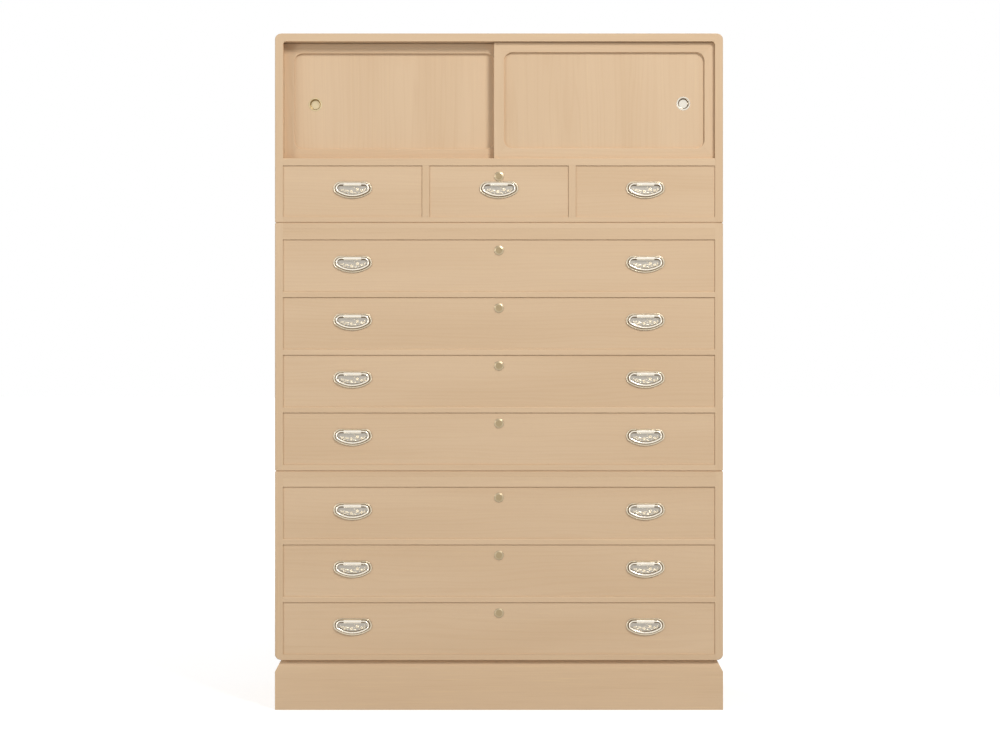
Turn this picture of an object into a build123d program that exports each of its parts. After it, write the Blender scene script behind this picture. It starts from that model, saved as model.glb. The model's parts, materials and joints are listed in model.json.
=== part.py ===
"""Isho clothing chest: three stacked paulownia cases on a plinth.

The upper case has two sliding doors over three small drawers. The middle and lower cases hold seven wide
drawers.
Each board, panel and fitting is a solid of its own. Millimetres, +X right, the front looks towards -Y, +Z up.
The origin is on the floor, under the middle of the footprint, with the handles counted in.
"""

import math
import os
from collections import namedtuple

from build123d import *

# ---------------------------------------------------------------- driving dimensions

# The chest
CHEST_WIDTH = 1060.0
CASE_DEPTH = 450.0
SIDE_THICKNESS = 19.0
BACK_THICKNESS = 7.0
CORNER_RADIUS = 14.0
CASE_FINGERS = 3
HOUSING_DEPTH = 5.0
HOUSING_SHOULDER = 10.0

# Plinth
PLINTH_HEIGHT = 118.0
PLINTH_THICKNESS = 30.0
PLINTH_BEVEL_IN = 14.0
PLINTH_BEVEL_DOWN = 27.5
CORNER_BLOCK = 45.0
CORNER_BLOCK_GAP = 6.0

# Lower and middle case
BOTTOM_BOARD = 13.5
DUST_BOARD = 13.5
TOP_BOARD = 15.0
LOWER_TOP_BAND = 39.0
MIDDLE_TOP_BAND = 41.5
WIDE_OPENING = 123.0
LOWER_DRAWERS = 3
MIDDLE_DRAWERS = 4
TOP_RAIL_DEPTH = 30.0
KICKER_WIDTH = 25.0

# Upper case
UPPER_BOTTOM_BOARD = 12.0
UPPER_TOP_BOARD = 18.5
SHELF_THICKNESS = 17.5
SMALL_OPENING = 121.5
SMALL_DRAWERS = 3
DIVIDER_THICKNESS = 17.0
DIVIDER_HOUSING = 3.0
DOOR_OPENING = 276.5
INNER_CORNER_RADIUS = 8.0
INNER_CORNER_DEPTH = 8.0

# Sliding doors
DOOR_THICKNESS = 16.0
DOOR_OVERLAP = 23.5
DOOR_GAP = 1.5
DOOR_SETBACK = 9.0
DOOR_EDGE_GAP = 0.8
DOOR_END_GAP = 0.3
DOOR_FRAME_WIDTH = 24.0
DOOR_PANEL_THICKNESS = 9.0
DOOR_PANEL_SINK = 6.0
DOOR_PANEL_LAP = 8.0
DOOR_CORNER_RADIUS = 20.0
DOOR_MOULDING = 1.5
DOOR_TONGUE = 8.0
TOP_TONGUE_HEIGHT = 6.0
TOP_GROOVE_DEPTH = 9.0
BOTTOM_GROOVE_DEPTH = 3.5
GROOVE_GAP = 0.5
GROOVE_RUN_GAP = 0.3

# Finger pulls in the doors
PULL_RADIUS = 16.5
PULL_CUP_RADIUS = 12.5
PULL_CUP_DEPTH = 7.5
PULL_WALL = 0.8
PULL_FLANGE = 1.2
PULL_FROM_WALL = 73.5
PULL_BELOW_MIDDLE = 7.0
PULL_HOLE_GAP = 0.2
PULL_FACETS = 28

# Drawers
DRAWER_SETBACK = 2.5
DRAWER_GAP = 0.8
DRAWER_RUN_GAP = 0.3
DRAWER_BACK_GAP = 0.5
FRONT_THICKNESS = 20.0
FRONT_LAP = 6.0
FRONT_EASE = 1.0
DRAWER_SIDE = 11.0
DRAWER_BACK = 11.0
DRAWER_BOTTOM = 7.0
SIDE_RELIEF = 2.0
DRAWER_FINGERS = 3

# Locks and their covers
KEY_BELOW_TOP = 24.5
KEYHOLE_WIDTH = 3.5
KEYHOLE_HEIGHT = 10.0
LOCK_WIDTH = 46.0
LOCK_HEIGHT = 34.0
LOCK_DEPTH = 12.0
ESCUTCHEON_RADIUS = 11.0
ESCUTCHEON_THICKNESS = 1.0
ESCUTCHEON_FACETS = 16
COVER_RADIUS = 11.5
COVER_THICKNESS = 1.4
COVER_BEVEL = 0.6
COVER_FACETS = 18
COVER_GAP = 0.1
COVER_PIVOT_UP = 8.0
RIVET_RADIUS = 1.0
RIVET_GAP = 0.06
RIVET_FACETS = 8

# Drop handles
HANDLE_SPACING = 692.6
HANDLE_ABOVE_MIDDLE = 17.5
PLATE_HALF_WIDTH = 45.5
PLATE_RISE = 16.5
PLATE_DROP = 23.5
PLATE_SIDE_RADIUS = 14.0
PLATE_THICKNESS = 1.5
PLATE_RIM_HEIGHT = 2.6
PLATE_RIM_WIDTH = 3.0
BARREL_BELOW_PLATE_TOP = 5.9
BARREL_RADIUS = 4.0
BARREL_LENGTH = 42.0
BARREL_OUT = 5.6
WIRE_RADIUS = 2.25
PIN_GAP = 0.1
PIN_LENGTH = 5.0
BAIL_HALF_WIDTH = 37.75
BAIL_RISE = 10.6
BAIL_DROP = 16.65
BAIL_SIDE_RADIUS = 8.0
WIRE_FACETS = 6
BORE_FACETS = 10
BARREL_FACETS = 12
SHOULDER_FACETS = 3
SIDE_FACETS = 2
BOTTOM_FACETS = 2

# ---------------------------------------------------------------- places worked out from them

HANDLE_REACH = BARREL_OUT + BARREL_RADIUS - DRAWER_SETBACK
FRONT_Y = (HANDLE_REACH - CASE_DEPTH) / 2
BACK_Y = FRONT_Y + CASE_DEPTH
BACK_PANEL_Y = BACK_Y - BACK_THICKNESS
DRAWER_Y = FRONT_Y + DRAWER_SETBACK
INNER_WIDTH = CHEST_WIDTH - 2 * SIDE_THICKNESS
HALF_INNER = INNER_WIDTH / 2

Case = namedtuple("Case", "name base bottom opening drawers boards board band top rounded")


def drawer_floor(case, level_number):
    """Height of the board that a drawer runs on. Level 0 is the lowest drawer."""
    return case.base + case.bottom + level_number * (case.opening + case.board)


def case_top(case):
    """Height of the case's top face."""
    return drawer_floor(case, case.drawers) - case.board + case.band


LOWER = Case(
    name="lower_case",
    base=PLINTH_HEIGHT,
    bottom=BOTTOM_BOARD,
    opening=WIDE_OPENING,
    drawers=LOWER_DRAWERS,
    boards=LOWER_DRAWERS - 1,
    board=DUST_BOARD,
    band=LOWER_TOP_BAND,
    top=TOP_BOARD,
    rounded="bottom",
)

MIDDLE = LOWER._replace(
    name="middle_case",
    base=case_top(LOWER),
    drawers=MIDDLE_DRAWERS,
    boards=MIDDLE_DRAWERS - 1,
    band=MIDDLE_TOP_BAND,
    rounded="none",
)
UPPER = Case(
    name="upper_case",
    base=case_top(MIDDLE),
    bottom=UPPER_BOTTOM_BOARD,
    opening=SMALL_OPENING,
    drawers=1,
    boards=1,
    board=SHELF_THICKNESS,
    band=SHELF_THICKNESS + DOOR_OPENING + UPPER_TOP_BOARD,
    top=UPPER_TOP_BOARD,
    rounded="top",
)

CHEST_HEIGHT = case_top(UPPER)
DOOR_FLOOR_Z = drawer_floor(UPPER, 1)
DOOR_CEILING_Z = CHEST_HEIGHT - UPPER_TOP_BOARD
SMALL_OPENING_WIDTH = (INNER_WIDTH - (SMALL_DRAWERS - 1) * DIVIDER_THICKNESS) / SMALL_DRAWERS
SMALL_PITCH = SMALL_OPENING_WIDTH + DIVIDER_THICKNESS
DRAWER_LENGTH = BACK_PANEL_Y - DRAWER_BACK_GAP - DRAWER_Y
DOOR_WIDTH = (INNER_WIDTH + DOOR_OVERLAP) / 2 - DOOR_END_GAP
DOOR_HEIGHT = DOOR_OPENING - 2 * DOOR_EDGE_GAP
FRONT_DOOR_Y = FRONT_Y + DOOR_SETBACK
REAR_DOOR_Y = FRONT_DOOR_Y + DOOR_THICKNESS + DOOR_GAP

os.makedirs("parts", exist_ok=True)


# ---------------------------------------------------------------- shared helpers


def upright(y):
    """Plane that faces the front at depth y: sketch x runs right, sketch y runs up. Extruding comes forward."""
    return Plane.XZ.offset(-y)


def level(z):
    """Flat plane at height z."""
    return Plane.XY.offset(z)


def block(x_range, y_range, z_range, mode=Mode.ADD):
    """A squared block between two values on each axis, added to or cut from the part that is being built."""
    ranges = (x_range, y_range, z_range)
    with Locations(tuple(sum(ends) / 2 for ends in ranges)):
        Box(*(abs(ends[1] - ends[0]) for ends in ranges), mode=mode)


def finger_ranges(low, high, fingers, first):
    """Every second finger of a comb joint along low..high, starting at finger number first."""
    pitch = (high - low) / fingers
    return [(low + k * pitch, low + (k + 1) * pitch) for k in range(first, fingers, 2)]


def labelled(name, part):
    """The finished piece with its own name."""
    part.label = name
    return part


def write_node(name, pieces):
    """One STEP file for a node. Each of its pieces stays a separate solid."""
    node = pieces[0] if len(pieces) == 1 else Compound(children=pieces)
    node.label = name
    export_step(node, f"parts/{name}.step")


# ---------------------------------------------------------------- plinth


def plinth_board(name, length, place):
    """Bevelled board with mitred ends, drawn with its outer face on y = 0 and then carried to its place."""
    half, inner_half = length / 2, length / 2 - PLINTH_THICKNESS
    with BuildPart() as board:
        with BuildSketch(Plane.YZ):
            with BuildLine():
                Polyline(
                    (0, 0),
                    (0, PLINTH_HEIGHT - PLINTH_BEVEL_DOWN),
                    (PLINTH_BEVEL_IN, PLINTH_HEIGHT),
                    (PLINTH_THICKNESS, PLINTH_HEIGHT),
                    (PLINTH_THICKNESS, 0),
                    close=True,
                )
            make_face()
        extrude(amount=half, both=True)
        with BuildSketch(Plane.XY):
            with BuildLine():
                Polyline(
                    (-half, 0),
                    (half, 0),
                    (inner_half, PLINTH_THICKNESS),
                    (-inner_half, PLINTH_THICKNESS),
                    close=True,
                )
            make_face()
        extrude(amount=PLINTH_HEIGHT, mode=Mode.INTERSECT)
    return labelled(name, board.part.moved(place))


def corner_block(name, x_sign, y_sign):
    """Three-cornered glue block in one inner corner of the plinth."""
    corner_x = x_sign * (CHEST_WIDTH / 2 - PLINTH_THICKNESS)
    corner_y = FRONT_Y + PLINTH_THICKNESS if y_sign < 0 else BACK_Y - PLINTH_THICKNESS
    with BuildPart() as corner:
        with BuildSketch(level(CORNER_BLOCK_GAP)):
            with BuildLine():
                Polyline(
                    (corner_x, corner_y),
                    (corner_x - x_sign * CORNER_BLOCK, corner_y),
                    (corner_x, corner_y - y_sign * CORNER_BLOCK),
                    close=True,
                )
            make_face()
        extrude(amount=PLINTH_HEIGHT - 2 * CORNER_BLOCK_GAP)
    return labelled(name, corner.part)


def make_plinth():
    """Four mitred boards, and a block glued into each inner corner."""
    middle_y = (FRONT_Y + BACK_Y) / 2
    pieces = [
        plinth_board("front_board", CHEST_WIDTH, Location((0, FRONT_Y, 0))),
        plinth_board("back_board", CHEST_WIDTH, Location((0, BACK_Y, 0), (0, 0, 180))),
        plinth_board("right_board", CASE_DEPTH, Location((CHEST_WIDTH / 2, middle_y, 0), (0, 0, 90))),
        plinth_board("left_board", CASE_DEPTH, Location((-CHEST_WIDTH / 2, middle_y, 0), (0, 0, -90))),
    ]
    for x_sign in (-1, 1):
        for y_sign in (-1, 1):
            pieces.append(corner_block("corner_block", x_sign, y_sign))
    write_node("plinth", pieces)


# ---------------------------------------------------------------- cases


def board_range(case, number):
    """Lower and upper face of a full-depth board: number 1 lies over the lowest drawer."""
    return drawer_floor(case, number) - case.board, drawer_floor(case, number)


def bottom_range(case):
    return case.base, case.base + case.bottom


def top_range(case):
    return case_top(case) - case.top, case_top(case)


def case_outline(case):
    """The case's front outline, rounded at its outer top or bottom corners."""
    height = case_top(case) - case.base
    with BuildSketch(upright(FRONT_Y)) as outline:
        with Locations((0, case.base + height / 2)):
            Rectangle(CHEST_WIDTH, height)
        if case.rounded == "top":
            fillet(outline.vertices().group_by(Axis.Z)[-1], CORNER_RADIUS)
        if case.rounded == "bottom":
            fillet(outline.vertices().group_by(Axis.Z)[0], CORNER_RADIUS)
    return outline.sketch


def cut_divider_housings(z_range):
    """Shallow housings for the two uprights between the small drawers."""
    for x in divider_centres():
        half = DIVIDER_THICKNESS / 2
        block((x - half, x + half), (FRONT_Y + HOUSING_SHOULDER, BACK_PANEL_Y), z_range, Mode.SUBTRACT)


def cut_door_grooves(z_range):
    """The front and the rear groove that the doors' tongues run in."""
    for door_y in (FRONT_DOOR_Y, REAR_DOOR_Y):
        middle = door_y + DOOR_THICKNESS / 2
        half = DOOR_TONGUE / 2 + GROOVE_GAP
        block((-HALF_INNER, HALF_INNER), (middle - half, middle + half), z_range, Mode.SUBTRACT)


def divider_centres():
    """Middle of each upright between the small drawers."""
    return [(k + 1 - SMALL_DRAWERS / 2) * SMALL_PITCH for k in range(SMALL_DRAWERS - 1)]


def inner_corner(hand):
    """Outline of the wood left in the door opening's upper corner, a quarter circle from the side to the top."""
    radius = INNER_CORNER_RADIUS
    along_top = (hand * (HALF_INNER - radius), DOOR_CEILING_Z)
    down_side = (hand * HALF_INNER, DOOR_CEILING_Z - radius)
    sunk = radius * (1 - math.sqrt(0.5))
    with BuildSketch(upright(FRONT_Y)) as corner:
        with BuildLine():
            ThreePointArc(along_top, (hand * (HALF_INNER - sunk), DOOR_CEILING_Z - sunk), down_side)
            Polyline(down_side, (hand * HALF_INNER, DOOR_CEILING_Z), along_top)
        make_face()
    return corner.sketch


def case_side(case, name, hand):
    """Side board, combed at both ends and housed for each full-depth board. In the upper case it rounds the door
    opening's corner, just in front of the doors. hand is -1 on the left, 1 on the right."""
    outer, inner = hand * CHEST_WIDTH / 2, hand * HALF_INNER
    with BuildPart() as side:
        block((outer, inner), (FRONT_Y, BACK_Y), (case.base, case_top(case)))
        for z_range in (bottom_range(case), top_range(case)):
            for y_range in finger_ranges(FRONT_Y, BACK_Y, CASE_FINGERS, 1):
                block((outer, inner), y_range, z_range, Mode.SUBTRACT)
        for number in range(1, case.boards + 1):
            housing = (FRONT_Y + HOUSING_SHOULDER, BACK_PANEL_Y)
            block((inner, inner + hand * HOUSING_DEPTH), housing, board_range(case, number), Mode.SUBTRACT)
        if case is UPPER:
            extrude(inner_corner(hand), amount=-INNER_CORNER_DEPTH)
        if case.rounded != "none":
            extrude(case_outline(case), amount=-CASE_DEPTH, mode=Mode.INTERSECT)
    return labelled(name, side.part)


def case_end_board(case, name, z_range):
    """Top or bottom board, with comb fingers that fill the gaps in the sides."""
    with BuildPart() as end_board:
        block((-CHEST_WIDTH / 2, CHEST_WIDTH / 2), (FRONT_Y, BACK_Y), z_range)
        for y_range in finger_ranges(FRONT_Y, BACK_Y, CASE_FINGERS, 0):
            for hand in (-1, 1):
                block((hand * CHEST_WIDTH / 2, hand * HALF_INNER), y_range, z_range, Mode.SUBTRACT)
        if case.rounded != "none":
            extrude(case_outline(case), amount=-CASE_DEPTH, mode=Mode.INTERSECT)
        if case is UPPER and name == "bottom_board":
            cut_divider_housings((z_range[1] - DIVIDER_HOUSING, z_range[1]))
        if case is UPPER and name == "top_board":
            cut_door_grooves((DOOR_CEILING_Z, DOOR_CEILING_Z + TOP_GROOVE_DEPTH))
    return labelled(name, end_board.part)


def housed_board(case, name, number):
    """Full-depth board between two drawers. The sides house its ends, short of the front."""
    z_range = board_range(case, number)
    housed_half = HALF_INNER + HOUSING_DEPTH
    with BuildPart() as shelf:
        block((-HALF_INNER, HALF_INNER), (FRONT_Y, FRONT_Y + HOUSING_SHOULDER), z_range)
        block((-housed_half, housed_half), (FRONT_Y + HOUSING_SHOULDER, BACK_PANEL_Y), z_range)
        if case is UPPER:
            cut_divider_housings((z_range[0], z_range[0] + DIVIDER_HOUSING))
            cut_door_grooves((z_range[1] - BOTTOM_GROOVE_DEPTH, z_range[1]))
    return labelled(name, shelf.part)


def make_case_shell(case):
    """The box itself: two sides, the bottom and the top."""
    write_node(
        f"{case.name}_shell",
        [
            case_side(case, "left_side", -1),
            case_side(case, "right_side", 1),
            case_end_board(case, "bottom_board", bottom_range(case)),
            case_end_board(case, "top_board", top_range(case)),
        ],
    )


def make_case_back(case):
    """Back panel, let in between the four boards of the shell."""
    with BuildPart() as panel:
        block((-HALF_INNER, HALF_INNER), (BACK_PANEL_Y, BACK_Y), (bottom_range(case)[1], top_range(case)[0]))
    write_node(f"{case.name}_back", [labelled("back_panel", panel.part)])


def top_rail_and_kickers(case):
    """The rail above the top drawer, and the strips behind it that keep the open drawer level."""
    z_range = (case_top(case) - case.band, top_range(case)[0])
    rail_back = FRONT_Y + TOP_RAIL_DEPTH
    with BuildPart() as rail:
        block((-HALF_INNER, HALF_INNER), (FRONT_Y, rail_back), z_range)
    pieces = [labelled("top_rail", rail.part)]
    for hand, name in ((-1, "left_kicker"), (1, "right_kicker")):
        with BuildPart() as kicker:
            x_range = (hand * HALF_INNER, hand * (HALF_INNER - KICKER_WIDTH))
            block(x_range, (rail_back, BACK_PANEL_Y), z_range)
        pieces.append(labelled(name, kicker.part))
    return pieces


def dividers():
    """The uprights between the small drawers, housed in the shelf above and the board below."""
    low, high = bottom_range(UPPER)[1], board_range(UPPER, 1)[0]
    pieces = []
    for x in divider_centres():
        x_range = (x - DIVIDER_THICKNESS / 2, x + DIVIDER_THICKNESS / 2)
        shoulder = FRONT_Y + HOUSING_SHOULDER
        with BuildPart() as divider:
            block(x_range, (FRONT_Y, shoulder), (low, high))
            block(x_range, (shoulder, BACK_PANEL_Y), (low - DIVIDER_HOUSING, high + DIVIDER_HOUSING))
        pieces.append(labelled("divider", divider.part))
    return pieces


def make_case_partitions(case):
    """Everything that stands between the drawers inside a case."""
    pieces = [housed_board(case, f"board_{number}", number) for number in range(1, case.boards + 1)]
    pieces += dividers() if case is UPPER else top_rail_and_kickers(case)
    write_node(f"{case.name}_partitions", pieces)


# ---------------------------------------------------------------- sliding doors


def door_ring():
    """The door's frame in one piece, centred on the origin with its face on y = 0: round inner corners with a
    moulded edge in front, and a square rebate for the panel behind."""
    opening_width = DOOR_WIDTH - 2 * DOOR_FRAME_WIDTH
    opening_height = DOOR_HEIGHT - 2 * DOOR_FRAME_WIDTH
    with BuildPart() as ring:
        with BuildSketch(upright(0)):
            Rectangle(DOOR_WIDTH, DOOR_HEIGHT)
            RectangleRounded(opening_width, opening_height, DOOR_CORNER_RADIUS, mode=Mode.SUBTRACT)
        extrude(amount=-DOOR_THICKNESS)
        face = ring.faces().sort_by(Axis.Y)[0]
        chamfer(face.inner_wires()[0].edges(), DOOR_MOULDING)
        with BuildSketch(upright(DOOR_THICKNESS)):
            Rectangle(opening_width + 2 * DOOR_PANEL_LAP, opening_height + 2 * DOOR_PANEL_LAP)
        extrude(amount=DOOR_THICKNESS - DOOR_PANEL_SINK, mode=Mode.SUBTRACT)
    return ring.part


def door_member(ring, name, outline, tongue=None):
    """One mitred stile or rail of the door: the ring inside the outline, and a rail's running tongue."""
    with BuildPart() as member:
        add(ring)
        with BuildSketch(upright(0)):
            with BuildLine():
                Polyline(*outline, close=True)
            make_face()
        extrude(amount=-DOOR_THICKNESS, mode=Mode.INTERSECT)
        if tongue:
            middle = DOOR_THICKNESS / 2
            y_range = (middle - DOOR_TONGUE / 2, middle + DOOR_TONGUE / 2)
            block((-DOOR_WIDTH / 2, DOOR_WIDTH / 2), y_range, tongue)
    return labelled(name, member.part)


def door_panel(pull_x, pull_z):
    """The sunk panel, bored for the finger pull's cup."""
    width = DOOR_WIDTH - 2 * DOOR_FRAME_WIDTH + 2 * DOOR_PANEL_LAP
    height = DOOR_HEIGHT - 2 * DOOR_FRAME_WIDTH + 2 * DOOR_PANEL_LAP
    with BuildPart() as panel:
        with BuildSketch(upright(DOOR_PANEL_SINK)):
            Rectangle(width, height)
            with Locations((pull_x, pull_z)):
                RegularPolygon(PULL_CUP_RADIUS + PULL_WALL + PULL_HOLE_GAP, PULL_FACETS, mode=Mode.SUBTRACT)
        extrude(amount=-DOOR_PANEL_THICKNESS)
    return labelled("panel", panel.part)


def finger_pull():
    """Flush cup with a flat flange round its mouth. The flange's back lies on y = 0."""
    outer = PULL_CUP_RADIUS + PULL_WALL
    with BuildPart() as pull:
        for radius, front_y, depth, mode in (
            (PULL_RADIUS, -PULL_FLANGE, PULL_FLANGE, Mode.ADD),
            (outer, 0, PULL_CUP_DEPTH + PULL_WALL, Mode.ADD),
            (PULL_CUP_RADIUS, -PULL_FLANGE, PULL_FLANGE + PULL_CUP_DEPTH, Mode.SUBTRACT),
        ):
            with BuildSketch(upright(front_y)):
                RegularPolygon(radius, PULL_FACETS)
            extrude(amount=-depth, mode=mode)
    return pull.part


def make_door(name, hand, door_y):
    """A framed door that closes against the wall on its own side: hand is -1 on the left, 1 on the right. Its
    lower tongue runs on the floor of the shallow groove. The upper groove is deep enough to lift it out."""
    centre_x = hand * (HALF_INNER - DOOR_END_GAP - DOOR_WIDTH / 2)
    centre_z = (DOOR_FLOOR_Z + DOOR_CEILING_Z) / 2
    pull_x = hand * (HALF_INNER - PULL_FROM_WALL) - centre_x
    half_w, half_h = DOOR_WIDTH / 2, DOOR_HEIGHT / 2
    bottom_tongue = BOTTOM_GROOVE_DEPTH + DOOR_EDGE_GAP - GROOVE_RUN_GAP
    reach = DOOR_FRAME_WIDTH + DOOR_CORNER_RADIUS
    in_w, in_h = half_w - reach, half_h - reach
    ring = door_ring()
    top = [(-half_w, half_h), (half_w, half_h), (in_w, in_h), (-in_w, in_h)]
    bottom = [(x, -z) for x, z in top]
    right = [(half_w, half_h), (half_w, -half_h), (in_w, -in_h), (in_w, in_h)]
    left = [(-x, z) for x, z in right]
    pieces = [
        door_member(ring, "top_rail", top, (half_h, half_h + TOP_TONGUE_HEIGHT)),
        door_member(ring, "bottom_rail", bottom, (-half_h, -half_h - bottom_tongue)),
        door_member(ring, "left_stile", left),
        door_member(ring, "right_stile", right),
        door_panel(pull_x, -PULL_BELOW_MIDDLE),
    ]
    place = Location((centre_x, door_y, centre_z))
    write_node(name, [labelled(piece.label, piece.moved(place)) for piece in pieces])
    pull_place = Location((centre_x + pull_x, door_y + DOOR_PANEL_SINK, centre_z - PULL_BELOW_MIDDLE))
    write_node(f"{name}_pull", [labelled("finger_pull", finger_pull().moved(pull_place))])


# ---------------------------------------------------------------- drawers


def drawer_front(width, height, locked):
    """Front board on y = 0: lapped at both ends for the sides, rebated below for the bottom board."""
    half = width / 2
    with BuildPart() as front:
        with BuildSketch(Plane.YZ):
            with BuildLine():
                Polyline(
                    (0, 0),
                    (FRONT_LAP, 0),
                    (FRONT_LAP, DRAWER_BOTTOM),
                    (FRONT_THICKNESS, DRAWER_BOTTOM),
                    (FRONT_THICKNESS, height),
                    (0, height),
                    close=True,
                )
            make_face()
        extrude(amount=half, both=True)
        for hand in (-1, 1):
            lap = (hand * half, hand * (half - DRAWER_SIDE))
            block(lap, (FRONT_LAP, FRONT_THICKNESS), (DRAWER_BOTTOM, height), Mode.SUBTRACT)
        face = front.faces().sort_by(Axis.Y)[0]
        chamfer(face.edges(), FRONT_EASE)
        if locked:
            key_z = height - KEY_BELOW_TOP
            half_key = KEYHOLE_WIDTH / 2, KEYHOLE_HEIGHT / 2
            half_lock = LOCK_WIDTH / 2, LOCK_HEIGHT / 2
            for half_size, y_range in (
                (half_key, (0, FRONT_THICKNESS)),
                (half_lock, (FRONT_THICKNESS - LOCK_DEPTH, FRONT_THICKNESS)),
            ):
                x_range = (-half_size[0], half_size[0])
                block(x_range, y_range, (key_z - half_size[1], key_z + half_size[1]), Mode.SUBTRACT)
    return labelled("front_board", front.part)


def drawer_side(width, height, name, hand):
    """Side board: its front end fills the front's lap, and its back end holds every second comb finger."""
    outer = hand * width / 2
    x_range = (outer, outer - hand * DRAWER_SIDE)
    comb_start = DRAWER_LENGTH - DRAWER_BACK
    with BuildPart() as side:
        block(x_range, (FRONT_LAP, comb_start), (DRAWER_BOTTOM, height))
        for z_range in finger_ranges(DRAWER_BOTTOM, height, DRAWER_FINGERS, 1):
            block(x_range, (comb_start, DRAWER_LENGTH), z_range)
    return labelled(name, side.part)


def drawer_back(width, height):
    """Back board, with the comb fingers that the sides leave open."""
    comb_start = DRAWER_LENGTH - DRAWER_BACK
    inner_half = width / 2 - DRAWER_SIDE
    with BuildPart() as back:
        block((-inner_half, inner_half), (comb_start, DRAWER_LENGTH), (DRAWER_BOTTOM, height))
        for z_range in finger_ranges(DRAWER_BOTTOM, height, DRAWER_FINGERS, 0):
            block((-width / 2, width / 2), (comb_start, DRAWER_LENGTH), z_range)
    return labelled("back_board", back.part)


def drawer_bottom(width):
    """Bottom board, pegged up under the sides and the back, with its front edge in the front's rebate."""
    with BuildPart() as bottom:
        block((-width / 2, width / 2), (FRONT_LAP, DRAWER_LENGTH), (0, DRAWER_BOTTOM))
    return labelled("bottom_board", bottom.part)


def drawer_box(width, height, locked):
    """The five boards of a drawer, with the middle of the front's lower edge on the origin."""
    side_top = height - SIDE_RELIEF
    return [
        drawer_front(width, height, locked),
        drawer_side(width, side_top, "left_side", -1),
        drawer_side(width, side_top, "right_side", 1),
        drawer_back(width, side_top),
        drawer_bottom(width),
    ]


# ---------------------------------------------------------------- drop handles


def arc_points(centre, radius, start, end, facets):
    """Points that follow an arc, after its first, from one angle to the other in degrees."""
    angles = [math.radians(start + (end - start) * k / facets) for k in range(1, facets + 1)]
    return [(centre[0] + radius * math.cos(a), centre[1] + radius * math.sin(a)) for a in angles]


def half_moon(half_width, top, rise, drop, side_radius):
    """Right half of a half-moon, from where its flat top ends to its bottom middle: a quarter round shoulder,
    a tighter side, and a shallow bottom arc that is tangent to the side. Every arc is a few short facets."""
    widest = top - rise
    side_x = half_width - side_radius
    bottom_radius = (side_x**2 + drop**2 - side_radius**2) / (2 * (drop - side_radius))
    turn = math.degrees(math.atan2(bottom_radius - drop, side_x))
    points = [(half_width - rise, top)]
    points += arc_points((half_width - rise, widest), rise, 90, 0, SHOULDER_FACETS)
    points += arc_points((side_x, widest), side_radius, 0, -turn, SIDE_FACETS)
    points += arc_points((0, widest - drop + bottom_radius), bottom_radius, -turn, -90, BOTTOM_FACETS)
    return points


def both_halves(right):
    """The right half's points, followed by their mirror image back to the top."""
    return right + [(-x, z) for x, z in reversed(right[:-1])]


def back_plate():
    """Half-moon backplate with a raised rim. The rim is left open at the top, where the barrel stands."""
    top = BARREL_BELOW_PLATE_TOP
    rim = PLATE_RIM_WIDTH
    outer = (PLATE_RISE, PLATE_DROP, PLATE_SIDE_RADIUS)
    outline = half_moon(PLATE_HALF_WIDTH, top, *outer)
    field = half_moon(PLATE_HALF_WIDTH - rim, top - rim, *(size - rim for size in outer))
    with BuildPart() as plate:
        with BuildSketch(upright(0)):
            with BuildLine():
                Polyline(*both_halves(outline), close=True)
            make_face()
        extrude(amount=PLATE_RIM_HEIGHT)
        with BuildSketch(upright(-PLATE_THICKNESS)):
            with BuildLine():
                Polyline(*both_halves(field), close=True)
            make_face()
            with Locations((0, top - rim / 2)):
                Rectangle(BARREL_LENGTH, 2 * rim)
        extrude(amount=PLATE_RIM_HEIGHT, mode=Mode.SUBTRACT)
    return labelled("back_plate", plate.part)


def barrel():
    """Barrel across the top of the plate, flat where it sits on the plate and bored for the bail's ends."""
    with BuildPart() as tube:
        with BuildSketch(Plane.YZ):
            with Locations((-BARREL_OUT, 0)):
                RegularPolygon(BARREL_RADIUS, BARREL_FACETS)
            with Locations((-(BARREL_OUT + PLATE_THICKNESS) / 2, 0)):
                Rectangle(BARREL_OUT - PLATE_THICKNESS, 2 * BARREL_RADIUS)
            with Locations((-BARREL_OUT, 0)):
                RegularPolygon(WIRE_RADIUS + PIN_GAP, BORE_FACETS, major_radius=False, mode=Mode.SUBTRACT)
        extrude(amount=BARREL_LENGTH / 2, both=True)
    return labelled("barrel", tube.part)


def bail():
    """Forged bail: a wire of a few facets that follows the half-moon, its ends turned in towards each other
    to lie in the barrel. It hangs from the barrel's line, which is z = 0."""
    pin_end = (BARREL_LENGTH / 2 - PIN_LENGTH, 0)
    right = [pin_end] + half_moon(BAIL_HALF_WIDTH, 0, BAIL_RISE, BAIL_DROP, BAIL_SIDE_RADIUS)
    with BuildPart() as wire:
        with BuildLine(upright(-BARREL_OUT)) as path:
            Polyline(*both_halves(right))
        with BuildSketch(Plane(origin=path.line @ 0, z_dir=path.line % 0)):
            RegularPolygon(WIRE_RADIUS, WIRE_FACETS)
        sweep(path=path.line, transition=Transition.RIGHT)
    return labelled("bail", wire.part)


# ---------------------------------------------------------------- locks


def escutcheon():
    """Round keyhole plate on the drawer's face. Its centre is the origin."""
    with BuildPart() as plate:
        with BuildSketch(upright(0)):
            RegularPolygon(ESCUTCHEON_RADIUS, ESCUTCHEON_FACETS)
            Rectangle(KEYHOLE_WIDTH, KEYHOLE_HEIGHT, mode=Mode.SUBTRACT)
            with Locations((0, COVER_PIVOT_UP)):
                RegularPolygon(RIVET_RADIUS + RIVET_GAP, RIVET_FACETS, major_radius=False, mode=Mode.SUBTRACT)
        extrude(amount=ESCUTCHEON_THICKNESS)
    return labelled("escutcheon", plate.part)


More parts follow.
